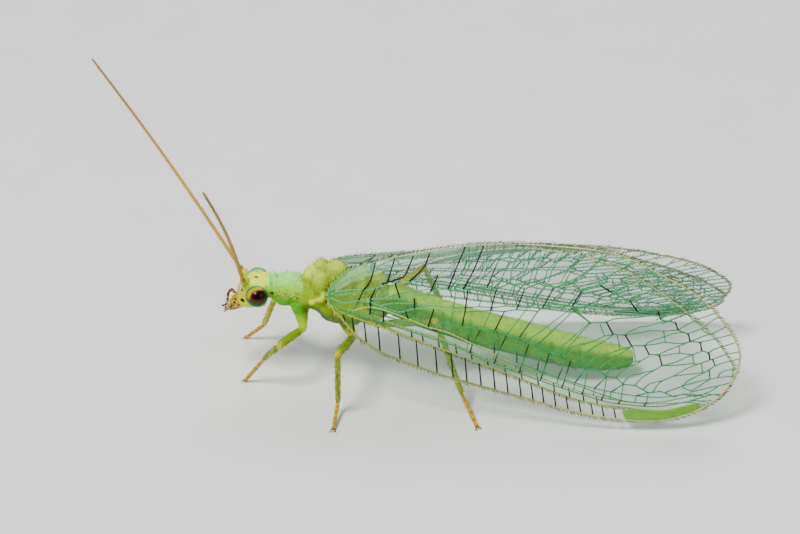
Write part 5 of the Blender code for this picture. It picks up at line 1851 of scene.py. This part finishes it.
# %% Feeler bristles
BRISTLES_ROUND = 5
for side in SIDES:
    root, bulb, ring, start, whip = feeler_line(side)
    roots = []
    normals = []
    ways = []
    spots = []
    for joint in range(2, WHIP_JOINTS - 3):
        share = (joint + 0.7) / WHIP_JOINTS
        way = (whip(share + 0.01) - whip(share - 0.01)).normalized()
        first = way.cross(Vector((0, 0, 1))).normalized()
        second = way.cross(first)
        size = WHIP_RADII[0] + (WHIP_RADII[1] - WHIP_RADII[0]) * share
        for part in range(BRISTLES_ROUND):
            angle = 2 * math.pi * (part + 0.5 * (joint % 2)) / BRISTLES_ROUND
            out = first * math.cos(angle) + second * math.sin(angle)
            roots.append(whip(share) + out * size)
            normals.append(out)
            ways.append(way)
            spots.append((0.02 + 0.96 * share, 0.05 + 0.9 * (angle / (2 * math.pi) % 1)))
    count = len(roots)
    lengths = chance.uniform(0.055, 0.085, count)
    tints = np.tile(colour("4a2c08"), (count, 1))
    hair_piece("feeler_" + side + "_bristles", bristle_skin, np.array(roots), np.array(normals),
               np.array(ways), 0.5, lengths, 0.0095, tints, np.array(spots))

# %% [markdown]
# ## Hairs of the wings
# Fine dark hairs stand on every vein, on both faces, and lean toward the wing's tip. Round the edge
# runs a fringe that lies in the wing's own plane. At the tip the hairs are kept short enough to stay
# inside the solids' box. The layout for baking is the wing itself, laid flat.

# %% Wing hairs
VEIN_HAIR_STEP = 0.085
FRINGE_STEP = 0.060
HAIR_THICK = 0.0140
FRINGE_THICK = 0.0200
FRINGE_SIZES = ((0.16, 0.22), (0.17, 0.25))
FRINGE_PALE = {"left": 0.35, "right": 0.65}
WING_MIDDLE = (5.0, 3.0)
FLAT_START = (-2.8, -0.1)
FLAT_SPAN = (15.4, 6.7)
TIP_END = CAD_BOX[1][0] / MM - SHIFT.x - 0.01


def along_line(rows, step):
    """Return points every step along rows, and the line's way at each."""
    lengths = np.r_[0, np.cumsum(np.linalg.norm(np.diff(rows, axis=0), axis=1))]
    at = np.arange(step * 0.5, lengths[-1], step)
    at = at + chance.uniform(-0.3, 0.3, len(at)) * step
    ahead = at_lengths(at + 0.02, lengths, rows)
    behind = at_lengths(at - 0.02, lengths, rows)
    return at_lengths(at, lengths, rows), unit(ahead - behind)


def wing_way(flat, side):
    """Turn a way of along and down into a way in space on a wing."""
    y = flat[:, 1] * math.sin(ROOF_LEAN) * SIDES[side]
    return np.stack([flat[:, 0], y, -flat[:, 1] * math.cos(ROOF_LEAN)], axis=1)


def wing_spots(points):
    """Lay places on a wing out flat."""
    return 0.03 + 0.94 * (points - FLAT_START) / FLAT_SPAN


for (which, side), store in nets.items():
    out = WINGS[which][2][side]
    face = np.array((0.0, SIDES[side] * math.cos(ROOF_LEAN), math.sin(ROOF_LEAN)))
    parts = []
    for rows, thick, darkness in store["lines"]:
        points, flat = along_line(rows, VEIN_HAIR_STEP)
        flat = flat * np.where(flat[:, :1] < -0.2, -1, 1)
        hand = np.where(np.arange(len(points)) % 2 == 0, 1.0, -1.0)[:, None]
        shade = np.tile(colour("2c1c12" if darkness > 0.5 else "5a4630"), (len(points), 1))
        roots = wing_places(points, out, side) + face * hand * thick * 0.8
        lengths = chance.uniform(0.06, 0.10, len(points))
        parts.append((roots, face * hand, wing_way(flat, side), lengths, shade, points))
    thicknesses = [np.full(len(part[0]), HAIR_THICK) for part in parts]
    for edge, size in zip(WINGS[which][:2], FRINGE_SIZES):
        points, flat = along_line(smooth_rows(edge, LINE_STEPS), FRINGE_STEP)
        outward = np.stack([flat[:, 1], -flat[:, 0]], axis=1)
        outward *= np.where(((points - WING_MIDDLE) * outward).sum(axis=1) < 0, -1, 1)[:, None]
        pale = (chance.random(len(points)) < FRINGE_PALE[side]).astype(float)
        shade = blend(np.tile(colour("4c302c"), (len(points), 1)), colour("a8b070"), pale)
        parts.append((wing_places(points, out, side), wing_way(outward, side), wing_way(flat, side),
                      chance.uniform(*size, len(points)), shade, points))
        thicknesses.append(np.full(len(points), FRINGE_THICK))
    roots, normals, ways, lengths, tints, points = (np.concatenate(group) for group in zip(*parts))
    lengths = np.minimum(lengths, TIP_END - roots[:, 0])
    hair_piece(which + "wing_" + side + "_hairs", bristle_skin, roots, normals, ways, 0.55, lengths,
               np.concatenate(thicknesses), tints, wing_spots(points))
